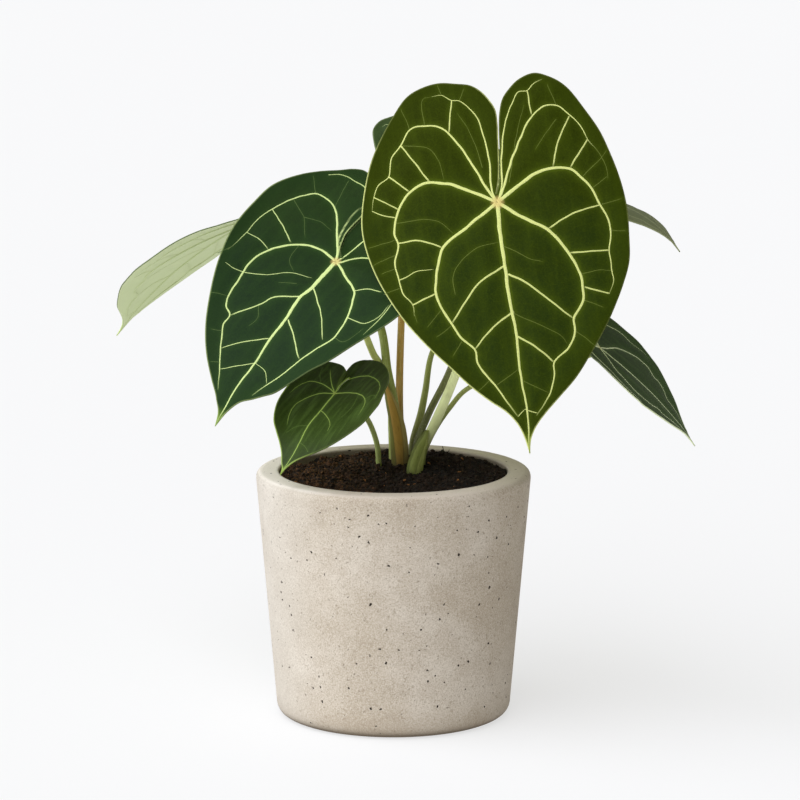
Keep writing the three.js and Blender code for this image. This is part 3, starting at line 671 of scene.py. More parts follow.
# %% [markdown]
# ## The rootstock
# The rootstock is hidden in the soil. The measured node is fine enough, so it stays as it is and
# only gets a corky skin.

# %% Rootstock
def root_material():
    """Corky, pale brown skin with darker cracks."""
    recipe = Recipe("cork")
    cracks = recipe.grain(0.0012, detail=4, stretch=(1, 1, 0.3))
    return recipe.finish(
        Base_Color=recipe.mix(recipe.between(cracks, 0.4, 0.65), (92, 70, 46), (150, 124, 88)),
        Roughness=0.8,
        Normal=recipe.bumped(cracks, 0.0005, 0.8),
    )


rootstock = bpy.data.objects["rootstock"]
rootstock.data.materials.clear()
rootstock.data.materials.append(root_material())
print("the rootstock keeps its", len(rootstock.data.polygons), "measured faces")

# %% [markdown]
# ## The leaves, drawn flat
# Every blade is drawn flat first: its outline and its veins in millimetres, with the stalk's joint
# at 0, 0, the tip below and the two lobes above. An image could show the veins instead, but drawn
# lines stay sharp from close by and can be raised. Three drawings serve all eight leaves.

# %% Leaf outlines and veins
# An outline runs from the joint at 0, 0 round one half to the tip. A vein is its points, its width
# at the start and its width at the end. The main ones also start at the joint, and the blade is
# sunk along them. Faint ones are all equally thin.
BROAD_HEART = {
    "left": [
        (0, 5), (2.2, 11), (4.1, 22), (5.3, 33), (6.4, 43), (6.4, 51), (4, 57), (0, 63), (-5, 67),
        (-12, 69), (-21, 71), (-30, 70), (-39, 66), (-48, 56), (-59, 40), (-65, 28), (-71, 9), (-73, -4),
        (-72, -17), (-69, -30), (-65, -41), (-57, -57), (-46, -73), (-37, -84), (-28, -95), (-19, -104),
        (-11, -111), (-6, -118), (-3.4, -125), (-1.5, -135),
    ],
    "right": [
        (0, 5), (2.5, 11), (4.5, 22), (5.9, 34), (7.2, 44), (8.6, 50.5), (11, 57), (15.5, 62.5), (21, 67),
        (30, 70), (38, 67), (46, 60), (54, 46), (60, 33), (64, 18), (67, 2), (68, -12), (67, -26),
        (65, -40), (60, -52), (54, -63), (47, -74), (38, -86), (28, -98), (18, -107), (9, -115),
        (3.5, -121), (0.2, -127), (-1.5, -135),
    ],
    "main": [
        ([(-1, -15), (-1, -31), (-1, -57), (0, -71), (-1, -89), (0, -111), (-1, -126),
         (-1.5, -134)], 2.7, 0.8),
        ([(-18, -11), (-32, -20), (-36, -30), (-39, -44), (-37, -53), (-33, -61), (-29, -69), (-23, -76),
         (-22, -84), (-17, -93), (-14, -98), (-5, -114)], 2.0, 0.9),
        ([(-15, 9), (-25, 14), (-36, 16), (-44, 13), (-51, 6), (-55, -3), (-56, -9), (-55, -15),
         (-58, -24), (-57, -35), (-56, -42), (-52, -48), (-52, -54)], 2.2, 0.6),
        ([(-4, 7), (-10, 22), (-19, 40), (-25, 46), (-32, 48), (-40, 47), (-46, 39), (-52, 33), (-55, 23),
         (-61, 19), (-64, 13), (-66, 6)], 1.6, 0.45),
        ([(-2, 6), (-1, 22), (-2, 37), (-4, 48), (-8, 55), (-12, 59), (-16, 60), (-21, 64),
         (-26, 64)], 1.3, 0.4),
        ([(3, 7), (6, 26), (10, 42), (16, 54), (20, 60), (25, 60), (29, 64), (34, 66)], 1.1, 0.5),
        ([(4, 7), (10, 20), (17, 33), (25, 45), (32, 50), (39, 50), (45, 44), (50, 37), (53, 29),
         (56, 24)], 1.6, 0.5),
        ([(13, 8), (22, 13), (31, 15), (41, 13), (47, 7), (51, 1), (54, -8), (57, -16), (57, -26),
         (55, -33), (55, -41), (55, -49), (52, -56)], 2.3, 0.5),
        ([(11, -9), (24, -18), (30, -26), (34, -33), (38, -44), (38, -52), (37, -59), (31, -67),
         (31, -73), (26, -82), (18, -88), (17, -95), (14, -103), (5, -115)], 2.3, 0.7),
    ],
    "cross": [
        ([(-55, -14), (-44, -14.5), (-32, -20)], 0.9, 1.0),
        ([(-52, -48), (-39, -44)], 0.9, 1.0),
        ([(-46, 39), (-34, 16)], 0.9, 1.0),
        ([(-55, 23), (-45, 13)], 0.9, 1.0),
        ([(-64, 13), (-52, 4)], 0.7, 0.8),
        ([(-66, 6), (-62, 3), (-54, 0)], 0.5, 0.8),
        ([(-16, 60), (-20, 42)], 0.8, 0.9),
        ([(25, 60), (25, 46)], 0.8, 0.9),
        ([(45, 43), (37, 29), (32, 16)], 0.9, 1.0),
        ([(53, 29), (41, 14)], 0.9, 1.0),
        ([(54, -8), (43, -10), (34, -13), (24, -18)], 0.9, 1.0),
        ([(55, -33), (34, -32)], 0.9, 1.0),
        ([(52, -56), (39, -51)], 0.9, 1.0),
        ([(0, -39), (9, -45), (19, -55), (31, -67)], 1.2, 1.0),
        ([(0, -72), (8, -78), (18, -88)], 1.2, 1.0),
        ([(-1, -34), (-15, -41), (-24, -50), (-33, -61)], 1.2, 1.0),
        ([(0, -59), (-12, -66), (-23, -76)], 1.2, 0.9),
        ([(-57, -34), (-46, -30.5), (-38, -31)], 0.7, 0.3),
        ([(-1, -111), (6, -114)], 0.5, 0.5),
        ([(-5, -114), (-1, -111)], 0.5, 0.5),
    ],
    "faint": [
        [(-46, 39), (-31, 34), (-28, 28), (-26, 16)], [(-58, -27), (-66, -29)], [(-32, -61), (-42, -67)],
        [(-29, -71), (-35, -78)], [(-38, -53), (-46, -61)], [(-56, -3), (-34, -5), (-25, -14)],
        [(-29, -46), (-29, -37), (-24, -29), (-14, -23), (-1, -21)], [(-32, 48), (-31, 63), (-26, 64)],
        [(-1, -95), (8, -101), (13, -104)], [(-14, -96), (-8, -93), (-1, -89)],
        [(56, 24), (60, 14), (60, 5)], [(-52, -52), (-51, -58)], [(39, 50), (36, 63)],
        [(47, 9), (57, 16), (62, 22)], [(51, 1), (60, 7)], [(38, 42), (30, 33), (24, 26)],
        [(38, -44), (49, -43), (56, -44)], [(38, -58), (48, -63)], [(0, -24), (12, -32), (19, -35)],
        [(0, -60), (23, -75), (26, -80)], [(-56, -12), (-71, -14)], [(-57, -20), (-70, -24)],
        [(-57, -38), (-66, -40)], [(57, -22), (66, -24)], [(55, -8), (66, -6)], [(-21, 64), (-22, 70)],
        [(-40, 47), (-43, 60)], [(-12, 59), (-8, 66)], [(31, -73), (40, -82)], [(-17, -93), (-24, -98)],
        [(-5, 20), (-9, 40), (-14, 52)], [(8, 10), (15, 34), (22, 52)],
    ],
}

NARROW_HEART = {
    "left": [
        (0, 5), (-5, 10), (-8, 16), (-10, 22), (-10.5, 30), (-10.5, 38), (-12, 49), (-18, 60), (-26, 67),
        (-33, 68.5), (-40, 65), (-46, 59), (-55, 50), (-63, 39), (-71, 21), (-72, 2), (-70.5, -16),
        (-67, -30), (-62, -43), (-54, -61), (-43, -82), (-32, -97), (-19, -110), (-9, -119), (-3, -126),
        (0, -135),
    ],
    "right": [
        (0, 5), (-9, 12), (-14, 24), (-16, 40), (-11, 54), (2, 66), (20, 70), (32, 69), (44, 62), (55, 50),
        (64, 34), (69, 16), (71, 0), (70, -17), (66, -28), (60, -40), (55, -52), (49, -64), (41, -75),
        (34, -87), (27, -98), (21, -103), (15, -108), (8, -114), (3, -123), (0, -135),
    ],
    "main": [
        ([(1, -25), (-1, -35), (1, -51), (1, -70), (2, -87), (0, -107), (0, -122), (0, -133)], 3.3, 0.7),
        ([(-5, 1), (-14, 2), (-23, 0), (-32, -6), (-41, -18), (-45, -32), (-44, -40), (-43, -47),
         (-42, -57), (-39, -65), (-33, -69), (-33, -76), (-28, -85), (-21, -97), (-17, -103),
         (-11, -114)], 1.9, 0.7),
        ([(-3, 5), (-15, 19), (-24, 29), (-30, 34), (-38, 36), (-46, 35), (-51, 29), (-55, 22), (-60, 7),
         (-62, -4), (-61, -17), (-61, -26), (-62, -34)], 1.9, 0.3),
        ([(3, -1), (15, -7), (27, -13), (32, -20), (38, -33), (40, -48), (36, -57), (29, -72), (25, -83),
         (19, -95), (13, -106)], 1.9, 0.6),
        ([(3, 1), (7, 8), (15, 15), (30, 20), (46, 12), (56, -4), (59, -22), (57, -38)], 1.6, 0.5),
        ([(1, 3), (1, 15), (2, 25), (8, 42), (20, 56), (34, 60)], 1.4, 0.5),
    ],
    "cross": [
        ([(-49, 51), (-45, 55), (-40, 57.5), (-33, 58), (-24, 58), (-17, 52)], 0.5, 1.0),
        ([(-1, -34), (-15, -44), (-21, -55), (-33, -69)], 1.1, 0.9),
        ([(0, -69), (-13, -79), (-25, -90)], 0.8, 0.6),
        ([(2, -87), (-8, -95), (-18, -102)], 0.6, 0.5),
        ([(-60, 7), (-48, 2), (-34, -5)], 0.7, 1.0),
        ([(-61, -17), (-52, -16), (-42, -18)], 0.5, 0.7),
        ([(-57, -42), (-50, -42), (-43, -40)], 0.3, 0.7),
        ([(-43, -40), (-30, -34), (-20, -25), (-4, -19)], 0.6, 0.4),
        ([(27, -13), (35, -8), (45, -6)], 0.7, 0.9),
        ([(38, -32), (52, -31), (57, -23), (57, -12)], 0.7, 0.5),
        ([(2, -25), (20, -38), (34, -53)], 1.0, 0.7),
        ([(3, -52), (16, -61), (28, -71)], 1.0, 0.9),
        ([(2, -87), (13, -89), (18, -95)], 0.4, 0.5),
    ],
    "faint": [
        [(-55, 22), (-46, 18), (-40, 15), (-29, 3)], [(-40, 15), (-29, 19), (-19, 18)],
        [(-36, 56), (-33, 45), (-30, 34)], [(40, -48), (49, -48), (54, -34)],
        [(-28, -1), (-28, -7), (-25, -17), (-17, -22)], [(-62, -32), (-65, -40)],
        [(-52, -63), (-42, -59)], [(-20, -54), (-15, -62), (-17, -69)], [(-31, -80), (-38, -83)],
        [(-20, -98), (-26, -101)], [(-47, 35), (-56, 44)], [(-9, -28), (-20, -34)],
    ],
}

SQUAT_HEART = {
    "left": [
        (0, 5), (-3, 14), (-5.5, 26), (-8, 39), (-15, 46), (-22, 50), (-31, 51), (-42, 49), (-49, 42),
        (-57, 26), (-63, 3), (-64, -10), (-63, -22), (-58, -46), (-49, -67), (-38, -80), (-25, -94),
        (-14, -108), (-8, -119), (-3, -127), (-1, -136),
    ],
    "right": [
        (0, 5), (-5, 14), (-9, 26), (-11, 38), (-13, 50), (-12, 63), (-5, 72), (6, 75), (26, 70), (48, 53),
        (66, 28), (79, -3), (83, -16), (82, -28), (80, -48), (71, -65), (58, -79), (40, -93), (20, -106),
        (8, -116), (2, -125), (-1, -136),
    ],
    "main": [
        ([(0, -32), (-2, -59), (1, -86), (2, -108), (-1, -133)], 1.8, 0.7),
        ([(-18, -5), (-29, -16), (-37, -33), (-36, -51), (-30, -66)], 1.2, 0.3),
        ([(-13, 7), (-29, 11), (-43, 9), (-52, -4), (-55, -20)], 1.2, 0.3),
        ([(-13, 13), (-24, 26), (-32, 38)], 1.2, 0.3),
        ([(-1.5, 8), (-3, 21), (1, 35), (22, 43), (46, 33), (62, 14), (68, -6)], 1.3, 0.3),
        ([(18, 6), (35, 5), (51, -4), (58, -16), (60, -34)], 1.4, 0.3),
    ],
    "cross": [
        ([(0, -32), (17, -42), (28, -52), (32, -64)], 0.8, 0.4),
    ],
    "faint": [
        [(-2, -59), (-16, -66), (-24, -78)], [(51, -4), (62, 2), (70, -4)],
        [(35, 5), (42, -20), (36, -44)], [(22, 43), (24, 56)], [(-29, 11), (-38, 24), (-42, 36)],
        [(1, -86), (14, -92), (22, -98)],
    ],
}
print("the broad shape has", len(BROAD_HEART["main"]), "main veins")

# %% [markdown]
# ## Where the leaves stand
# Each flat blade is bent a little and turned into its place. Heading turns the tip round the
# plant, droop tips it down and roll leans it sideways. Turning a finished leaf by hand would do as
# well, but numbers let a leaf be turned again without any other change.

# %% Leaf places
# Place of the joint, turns and size, then the bends: arch from the joint to the tip, lobe_arch in
# the lobes and cup from side to side. Lap lowers the right lobe beside the notch, and fullness is
# how wide the veins are. Approach is how far below the blade its stalk starts to turn square to it.
LEAVES = [
    dict(shape=BROAD_HEART, at=(54.8, -36, 285.1), heading=-69, droop=67, roll=-19, size=0.996,
         arch=0.0022, lobe_arch=0.0025, cup=0.0025, fullness=0.9),
    dict(shape=NARROW_HEART, at=(-30.8, -6, 249), heading=-140, droop=33, roll=24, size=0.832,
         arch=0.0045, lobe_arch=-0.001, cup=-0.004, lap=2.6, fullness=0.95, edge=0.25, pale_notch=True),
    dict(shape=SQUAT_HEART, at=(-31.2, -28, 181.1), heading=-128, droop=30, roll=4, size=0.43,
         arch=0.0025, lobe_arch=0.001, cup=-0.004, lap=2.0, fullness=1.25, approach=8),
    dict(shape=BROAD_HEART, at=(-81.3, 108, 255.3), heading=144, droop=25.3, roll=5, size=0.947,
         arch=0.003, lobe_arch=0.003, cup=-0.0004),
    dict(shape=BROAD_HEART, at=(25.8, 64, 296.2), heading=-25, droop=44, roll=-30, size=0.526,
         arch=0.003, lobe_arch=0.002, cup=0, ranks=("main", "cross")),
    dict(shape=BROAD_HEART, at=(104.5, 30, 278.5), heading=-14, droop=0.5, roll=2, size=0.455,
         arch=0.007, lobe_arch=0.003, cup=0.0045, ranks=("main",)),
    dict(shape=BROAD_HEART, at=(112.1, 20, 197.8), heading=8.1, droop=37.2, roll=-22.4, size=0.588,
         arch=0.0024, lobe_arch=0.002, cup=-0.002, broad=(0.77, 0.98), lobes=(0.5, 0.88), approach=5,
         ranks=("main",), vein_width=0.7),
    dict(shape=BROAD_HEART, at=(45, 86, 224), heading=85, droop=30, roll=0, size=0.56,
         arch=0.003, lobe_arch=0.003, cup=0.001),
]
LOBE_START = -70
LOBE_END = 20


def widened(leaf, points):
    """The drawn points, with each half as broad and each lobe as slim as the leaf says."""
    wide = []
    for x, y in points:
        half = 0 if x < 0 else 1
        t = min(1, max(0, (y - LOBE_START) / (LOBE_END - LOBE_START)))
        slim = leaf.get("lobes", (1, 1))[half]
        wide.append((x * leaf.get("broad", (1, 1))[half] * (1 + (slim - 1) * t * t * (3 - 2 * t)), y))
    return wide


def leaf_axes(leaf):
    """The leaf's own directions: sideways, back toward the lobes, and up from its upper face."""
    a, b, g = (math.radians(leaf[key]) for key in ("heading", "droop", "roll"))
    tip = np.array([math.cos(b) * math.cos(a), math.cos(b) * math.sin(a), -math.sin(b)])
    level = np.array([-math.sin(a), math.cos(a), 0])
    above = np.array([math.sin(b) * math.cos(a), math.sin(b) * math.sin(a), math.cos(b)])
    side = level * math.cos(g) - above * math.sin(g)
    return side, -tip, above * math.cos(g) + level * math.sin(g)


def bent(leaf, x, y, z):
    """Flat points, with their height z over the blade, bent and put in their place, in metres."""
    along = -y
    curl = np.where(along > 0, leaf["arch"], leaf["lobe_arch"])
    angle = curl * along
    across = -leaf["cup"] * x**2 / 2 + z
    reach = np.sin(angle) / curl + across * np.sin(angle)
    height = (np.cos(angle) - 1) / curl + across * np.cos(angle)
    side, back, up = leaf_axes(leaf)
    local = np.outer(x, side) - np.outer(reach, back) + np.outer(height, up)
    return (np.array(leaf["at"]) + local * leaf["size"]) * MM


print("leaf 1 faces", [round(float(x), 2) for x in leaf_axes(LEAVES[0])[2]])

# %% [markdown]
# ## Vein lines
# The drawn veins become smooth lines with the small bends of real ones. A search tree then tells,
# for any point of a blade, how far off the nearest vein is and how wide it is there. The dips in
# the skin and the glow beside the veins both need that.

# %% Vein lines
LINE_STEP = 1.2
FAINT_WIDTH = 0.5
FAINT_TAPER = 0.6
VEIN_WANDER = 0.42
WANDER_LENGTH = 6.0
WANDER_START = 12
WANDER_SEED = 5

# Without a seed of its own, the vector noise would bend the veins in another way at each run.
noise.seed_set(WANDER_SEED)


def wandered(line):
    """A line with the small bends of a real vein. Lines that meet still meet."""
    moved_points = []
    for x, y in line:
        shift = noise.noise_vector(Vector((x, y, 7)) / WANDER_LENGTH) * VEIN_WANDER
        share = min(1, math.hypot(x, y) / WANDER_START)
        moved_points.append((x + shift.x * share, y + shift.y * share))
    return np.array(moved_points)


def shape_lines(leaf):
    """Every vein of a leaf as a smooth flat line, with its two widths and its rank."""
    fullness = leaf.get("fullness", 1)
    lines = []
    for rank in leaf.get("ranks", ("main", "cross", "faint")):
        for vein in leaf["shape"][rank]:
            if rank == "faint":
                vein = (vein, FAINT_WIDTH, FAINT_WIDTH * FAINT_TAPER)
            points, start, end = vein
            if rank == "main":
                points = [(0, 0), *points]
            line = wandered(smooth_line(widened(leaf, points), LINE_STEP))
            lines.append((line, start * fullness, end * fullness, rank))
    return lines


def of_rank(lines, *ranks):
    """The lines that are of one of the ranks."""
    return [line for line in lines if line[3] in ranks]


def tree_of(points):
    """A search tree that finds the nearest of some points."""
    tree = KDTree(len(points))
    for i, point in enumerate(points):
        tree.insert(point, i)
    tree.balance()
    return tree


def nearest(lines, points):
    """For each flat point, the distance to the nearest line and that line's width there."""
    samples = []
    widths = []
    for line, start, end, _ in lines:
        samples.extend((x, y, 0) for x, y in line)
        widths.extend(np.linspace(start, end, len(line)))
    tree = tree_of(samples)
    found = [tree.find((x, y, 0)) for x, y in points]
    return np.array([hit[2] for hit in found]), np.array([widths[hit[1]] for hit in found])


print("leaf 1 has", len(shape_lines(LEAVES[0])), "veins")

# %% [markdown]
# ## The blades
# A real blade is a thin skin held out by its veins. The skin bulges a little between the main
# veins and dips along them. The outline is one flat face for each half, and cutting planes slice it
# into small squares, which keeps the margin exact. A grid shrunk to the outline would have crowded
# faces at the tip. Each point is lifted by the distances to the veins, and the sheet is bent.

# %% Blades
BLADE_THICKNESS = 0.6
LOBE_TOP = 70
LEAF_LENGTH = 205
CUT_STEP = 1.35
SMALL_LEAF_STEP = 0.8
# Which way each set of cutting planes faces, and from where to where it goes
CUTS = [((1, 0, 0), -75, 90), ((0, 1, 0), -135, 75)]
SEAM_END = 7
DIP_WIDTH = 7.0
DIP_DEPTH = 0.85
DIP_START = 30
WAVE_HEIGHT = 0.7
WAVE_LENGTH = 13
WAVE_REACH = 65
LAP_REACH = 26
LAP_START = 3
LAP_FULL = 15
LEAST_PALE_EDGE = 0.15
NARROW_GLOW = 0.9
WIDE_GLOW = 3.6
WIDE_SHARE = 0.3
FULL_GLOW_WIDTH = 1.5
LEAST_GLOW = 0.2
FAINT_GLOW = 1.2
FAINT_SHARE = 0.3


def flat_blade(leaf):
    """The two flat halves of a blade, cut into small squares."""
    shape = leaf["shape"]
    mesh = bmesh.new()
    halves = mesh.faces.layers.int.new("half")
    joint = mesh.verts.new((0, 0, 0))
    notch, tip = (mesh.verts.new((*shape["left"][end], 0)) for end in (0, -1))
    for number, side in enumerate(("left", "right")):
        line = smooth_line(widened(leaf, shape[side]), LINE_STEP)[1:-1]
        edge = [mesh.verts.new((x, y, 0)) for x, y in line]
        half = mesh.faces.new([joint, notch, *edge, tip])
        half[halves] = number
    step = CUT_STEP + (1 - leaf["size"]) * SMALL_LEAF_STEP
    for normal, low, high in CUTS:
        for i in range(math.ceil(low / step), math.ceil(high / step)):
            place = [i * step * axis for axis in normal]
            bmesh.ops.bisect_plane(
                mesh, geom=mesh.verts[:] + mesh.edges[:] + mesh.faces[:],
                plane_co=place, plane_no=normal, dist=1e-4,
            )
    return mesh, halves


def halves_at(mesh, halves):
    """For each point, 0 in the left half, 1 in the right one and 0.5 on the seam between them."""
    found = []
    for vert in mesh.verts:
        on_seam = abs(vert.co.x) <= 1e-3 and vert.co.y <= SEAM_END
        found.append(0.5 if on_seam else vert.link_faces[0][halves])
    return np.array(found)


def ramp(value, start, end):
    """0 where the value has not reached start, 1 past end, and even in between, up or down."""
    return np.clip((value - start) / (end - start), 0, 1)


def relief(leaf, lines, x, y, half):
    """How high the middle of the skin lies over the smooth bent sheet."""
    distance, _ = nearest(of_rank(lines, "main"), np.stack([x, y], 1))
    dip = 1 - np.exp(-((distance / DIP_WIDTH) ** 2))
    swell = DIP_DEPTH * dip * ramp(np.hypot(x, y), 0, DIP_START)
    wave = WAVE_HEIGHT * np.sin(y / WAVE_LENGTH + np.sign(x)) * np.minimum(1, (x / WAVE_REACH) ** 2)
    beside_notch = np.exp(-np.abs(x) / LAP_REACH) * ramp(y, LAP_START, LAP_FULL)
    lap = -leaf.get("lap", 0) * beside_notch * np.where(half == 1, 1, 0)
    return swell + wave + lap


def edge_paleness(leaf, x, y, half):
    """How pale the very edge is: most on the lower left and beside the notch.

    The ramps are in millimetres of the flat drawing.
    """
    lower_left = ramp(-x - 0.55 * y, 20, 60) * ramp(y, 60, 20)
    beside_notch = ramp(np.abs(x - 4), 9, 0) * ramp(y, 0, 4)
    if leaf.get("pale_notch"):
        beside_notch = ramp(np.abs(x + 9), 10, 4) * ramp(y, 5, 10) * ramp(y, 55, 40)
    beside_notch = beside_notch * np.where(half == 0, 1, 0)
    pale = np.maximum(lower_left * leaf.get("edge", 1), beside_notch)
    return LEAST_PALE_EDGE + (1 - LEAST_PALE_EDGE) * pale


def glow_at(lines, points):
    """How strong the pale glow beside the veins is at each flat point."""
    distance, width = nearest(of_rank(lines, "main", "cross"), points)
    outside = np.maximum(distance - width / 2, 0)
    narrow_glow = np.exp(-((outside / NARROW_GLOW) ** 2))
    wide_glow = np.exp(-((outside / WIDE_GLOW) ** 2))
    strength = np.clip(width / FULL_GLOW_WIDTH, LEAST_GLOW, 1)
    glow = (narrow_glow * (1 - WIDE_SHARE) + wide_glow * WIDE_SHARE) * strength
    soft = of_rank(lines, "faint")
    if soft:
        distance, _ = nearest(soft, points)
        glow = np.maximum(glow, FAINT_SHARE * np.exp(-((distance / FAINT_GLOW) ** 2)))
    return glow


def blade_piece(number, leaf, lines, upper, under):
    """One blade: cut flat, measured, bent, placed and given its thickness."""
    mesh, halves = flat_blade(leaf)
    mesh.verts.ensure_lookup_table()
    flat = np.array([vert.co for vert in mesh.verts])
    half = halves_at(mesh, halves)
    margin = tree_of([vert.co.copy() for vert in mesh.verts if vert.is_boundary])
    to_margin = np.array([margin.find(co)[2] for co in flat])
    bmesh.ops.recalc_face_normals(mesh, faces=mesh.faces)
    if sum(face.normal.z for face in mesh.faces) < 0:
        bmesh.ops.reverse_faces(mesh, faces=mesh.faces)
    data = as_data(mesh, f"blade_{number}")
    x, y = flat[:, 0], flat[:, 1]
    height = relief(leaf, lines, x, y, half)
    placed = bent(leaf, x, y, height / leaf["size"] ** 0.5)
    data.vertices.foreach_set("co", placed.astype(np.float32).ravel())
    keep_on_points(
        data, glow=glow_at(lines, flat[:, :2]), vein=0, margin=to_margin * leaf["size"],
        length=(LOBE_TOP - y) / LEAF_LENGTH, edge=edge_paleness(leaf, x, y, half), across=x / LEAF_LENGTH,
    )
    blade = piece(f"blade_{number}", data, [upper, under, upper], [f"leaf_{number}"])
    skin = blade.modifiers.new("thickness", "SOLIDIFY")
    skin.thickness = BLADE_THICKNESS * MM
    skin.offset = 0
    skin.material_offset = 1
    skin.material_offset_rim = 2


# %% [markdown]
# ## The veins
# Each vein is a cord inside the skin: nearly flush above, and a raised rib below. So each one is a
# closed tube along its flat line with a low crown on top and a deeper one underneath, bent in the
# same way as the blade. All the veins of one leaf are joined in one piece.

# %% Veins
VEIN_STEP = 1.3
VEIN_SIDES = 10
TOP_CROWN = 0.16
VEIN_LIFT = 0.03
RIB_DEPTH = {"main": 0.75, "cross": 0.3, "faint": 0.06}
PALENESS = {"main": 1.0, "cross": 0.92, "faint": 0.1}
UNEVENNESS = 0.2
FAR_DIMMING = 0.08
DIMMING_START = 25
DIMMING_END = 85
THINNING = 6
THINNEST = 0.15
BULGE_PALENESS = 1.6
FADE_PALENESS = 1.4
VEIN_GLOW = 0.8
FAR_FROM_MARGIN = 20.0


def vein_section(turn, half_width, crown, rib):
    """One point of a vein's section: across and up, from a turn of 0 to 1 round it, and its bulge."""
    across = math.cos(2 * math.pi * turn)
    bulge = math.sqrt(max(0, 1 - across**2))
    skin = BLADE_THICKNESS / 2
    if turn <= 0.5:
        return across * half_width, skin - VEIN_LIFT + (crown + VEIN_LIFT) * bulge, bulge
    return across * half_width, -skin + VEIN_LIFT - (rib + VEIN_LIFT) * bulge, bulge


def add_vein(mesh, paleness, leaf, vein):
    """Adds one flat vein to the mesh, and keeps on its points how pale they are."""
    line, start, end, rank = vein
    count = max(2, round(len(line) * LINE_STEP / VEIN_STEP))
    centre = sampled(line, count)
    ahead = np.gradient(centre, axis=0)
    beside = np.stack([-ahead[:, 1], ahead[:, 0]], 1) / np.linalg.norm(ahead, axis=1)[:, None]
    for vert in bmesh.ops.create_grid(mesh, x_segments=count, y_segments=VEIN_SIDES, size=0.5)["verts"]:
        i = round((vert.co.x + 0.5) * count)
        # The vein thins out over its last seventh.
        fade = min(1, THINNING * (1 - i / count) + THINNEST)
        half_width = (start + (end - start) * i / count) / 2 * leaf.get("vein_width", 1)
        half_width *= 1 + UNEVENNESS * noise.noise(Vector((*centre[i], 3)) / 3)
        slim = fade * min(1, half_width)
        sideways, height, bulge = vein_section(
            (vert.co.y + 0.5) % 1.0, half_width, TOP_CROWN * slim + VEIN_LIFT, RIB_DEPTH[rank] * slim,
        )
        outward = 1 - FAR_DIMMING * ramp(math.hypot(*centre[i]), DIMMING_START, DIMMING_END)
        shown = min(1, BULGE_PALENESS * bulge**0.5) * min(1, fade * FADE_PALENESS)
        vert[paleness] = PALENESS[rank] * shown * outward
        vert.co = (*(centre[i] + beside[i] * sideways), height)


def vein_piece(number, leaf, lines, upper, under):
    """All the veins of one leaf, drawn flat and bent as the blade is."""
    mesh = bmesh.new()
    paleness = mesh.verts.layers.float.new("vein")
    for vein in lines:
        add_vein(mesh, paleness, leaf, vein)
    bmesh.ops.remove_doubles(mesh, verts=mesh.verts, dist=1e-4)
    bmesh.ops.holes_fill(mesh, edges=mesh.edges, sides=0)
    bmesh.ops.recalc_face_normals(mesh, faces=mesh.faces)
    x, y, z = np.array([vert.co for vert in mesh.verts]).T
    swell = relief(leaf, lines, x, y, np.where(x < 0, 0, 1))
    placed = bent(leaf, x, y, swell / leaf["size"] ** 0.5 + z / leaf["size"])
    for vert, place in zip(mesh.verts, placed):
        vert.co = place
    data = as_data(mesh, f"veins_{number}")
    keep_on_points(
        data, glow=VEIN_GLOW, margin=FAR_FROM_MARGIN, length=(LOBE_TOP - y) / LEAF_LENGTH, edge=0,
        across=x / LEAF_LENGTH,
    )
    normals = np.zeros(len(data.polygons) * 3)
    data.polygons.foreach_get("normal", normals)
    below = (normals.reshape(-1, 3) @ leaf_axes(leaf)[2] < 0).astype(np.int32)
    piece(f"veins_{number}", data, [upper, under])
    data.polygons.foreach_set("material_index", below)


# %% [markdown]
# ## Leaf colours
# The upper face is a dark velvet: almost no mirror shine, fine grain, and a pale net of veins with
# a yellow-green glow beside them, and lengthwise lines of painted sheen. Leaf 6 is painted grey as
# painted sheen, and the blue leaves have painted sheen on their lobes. The lower face is a dull sage,
# made paler as painted light for the light that shines through the thin blade. Both are one recipe,
# with other colours, that reads the distances kept on the mesh.

# %% Leaf materials
JOINT_ALONG = 0.3415
JOINT_COLOUR = (206, 178, 112)
NET_CELLS = 300.0


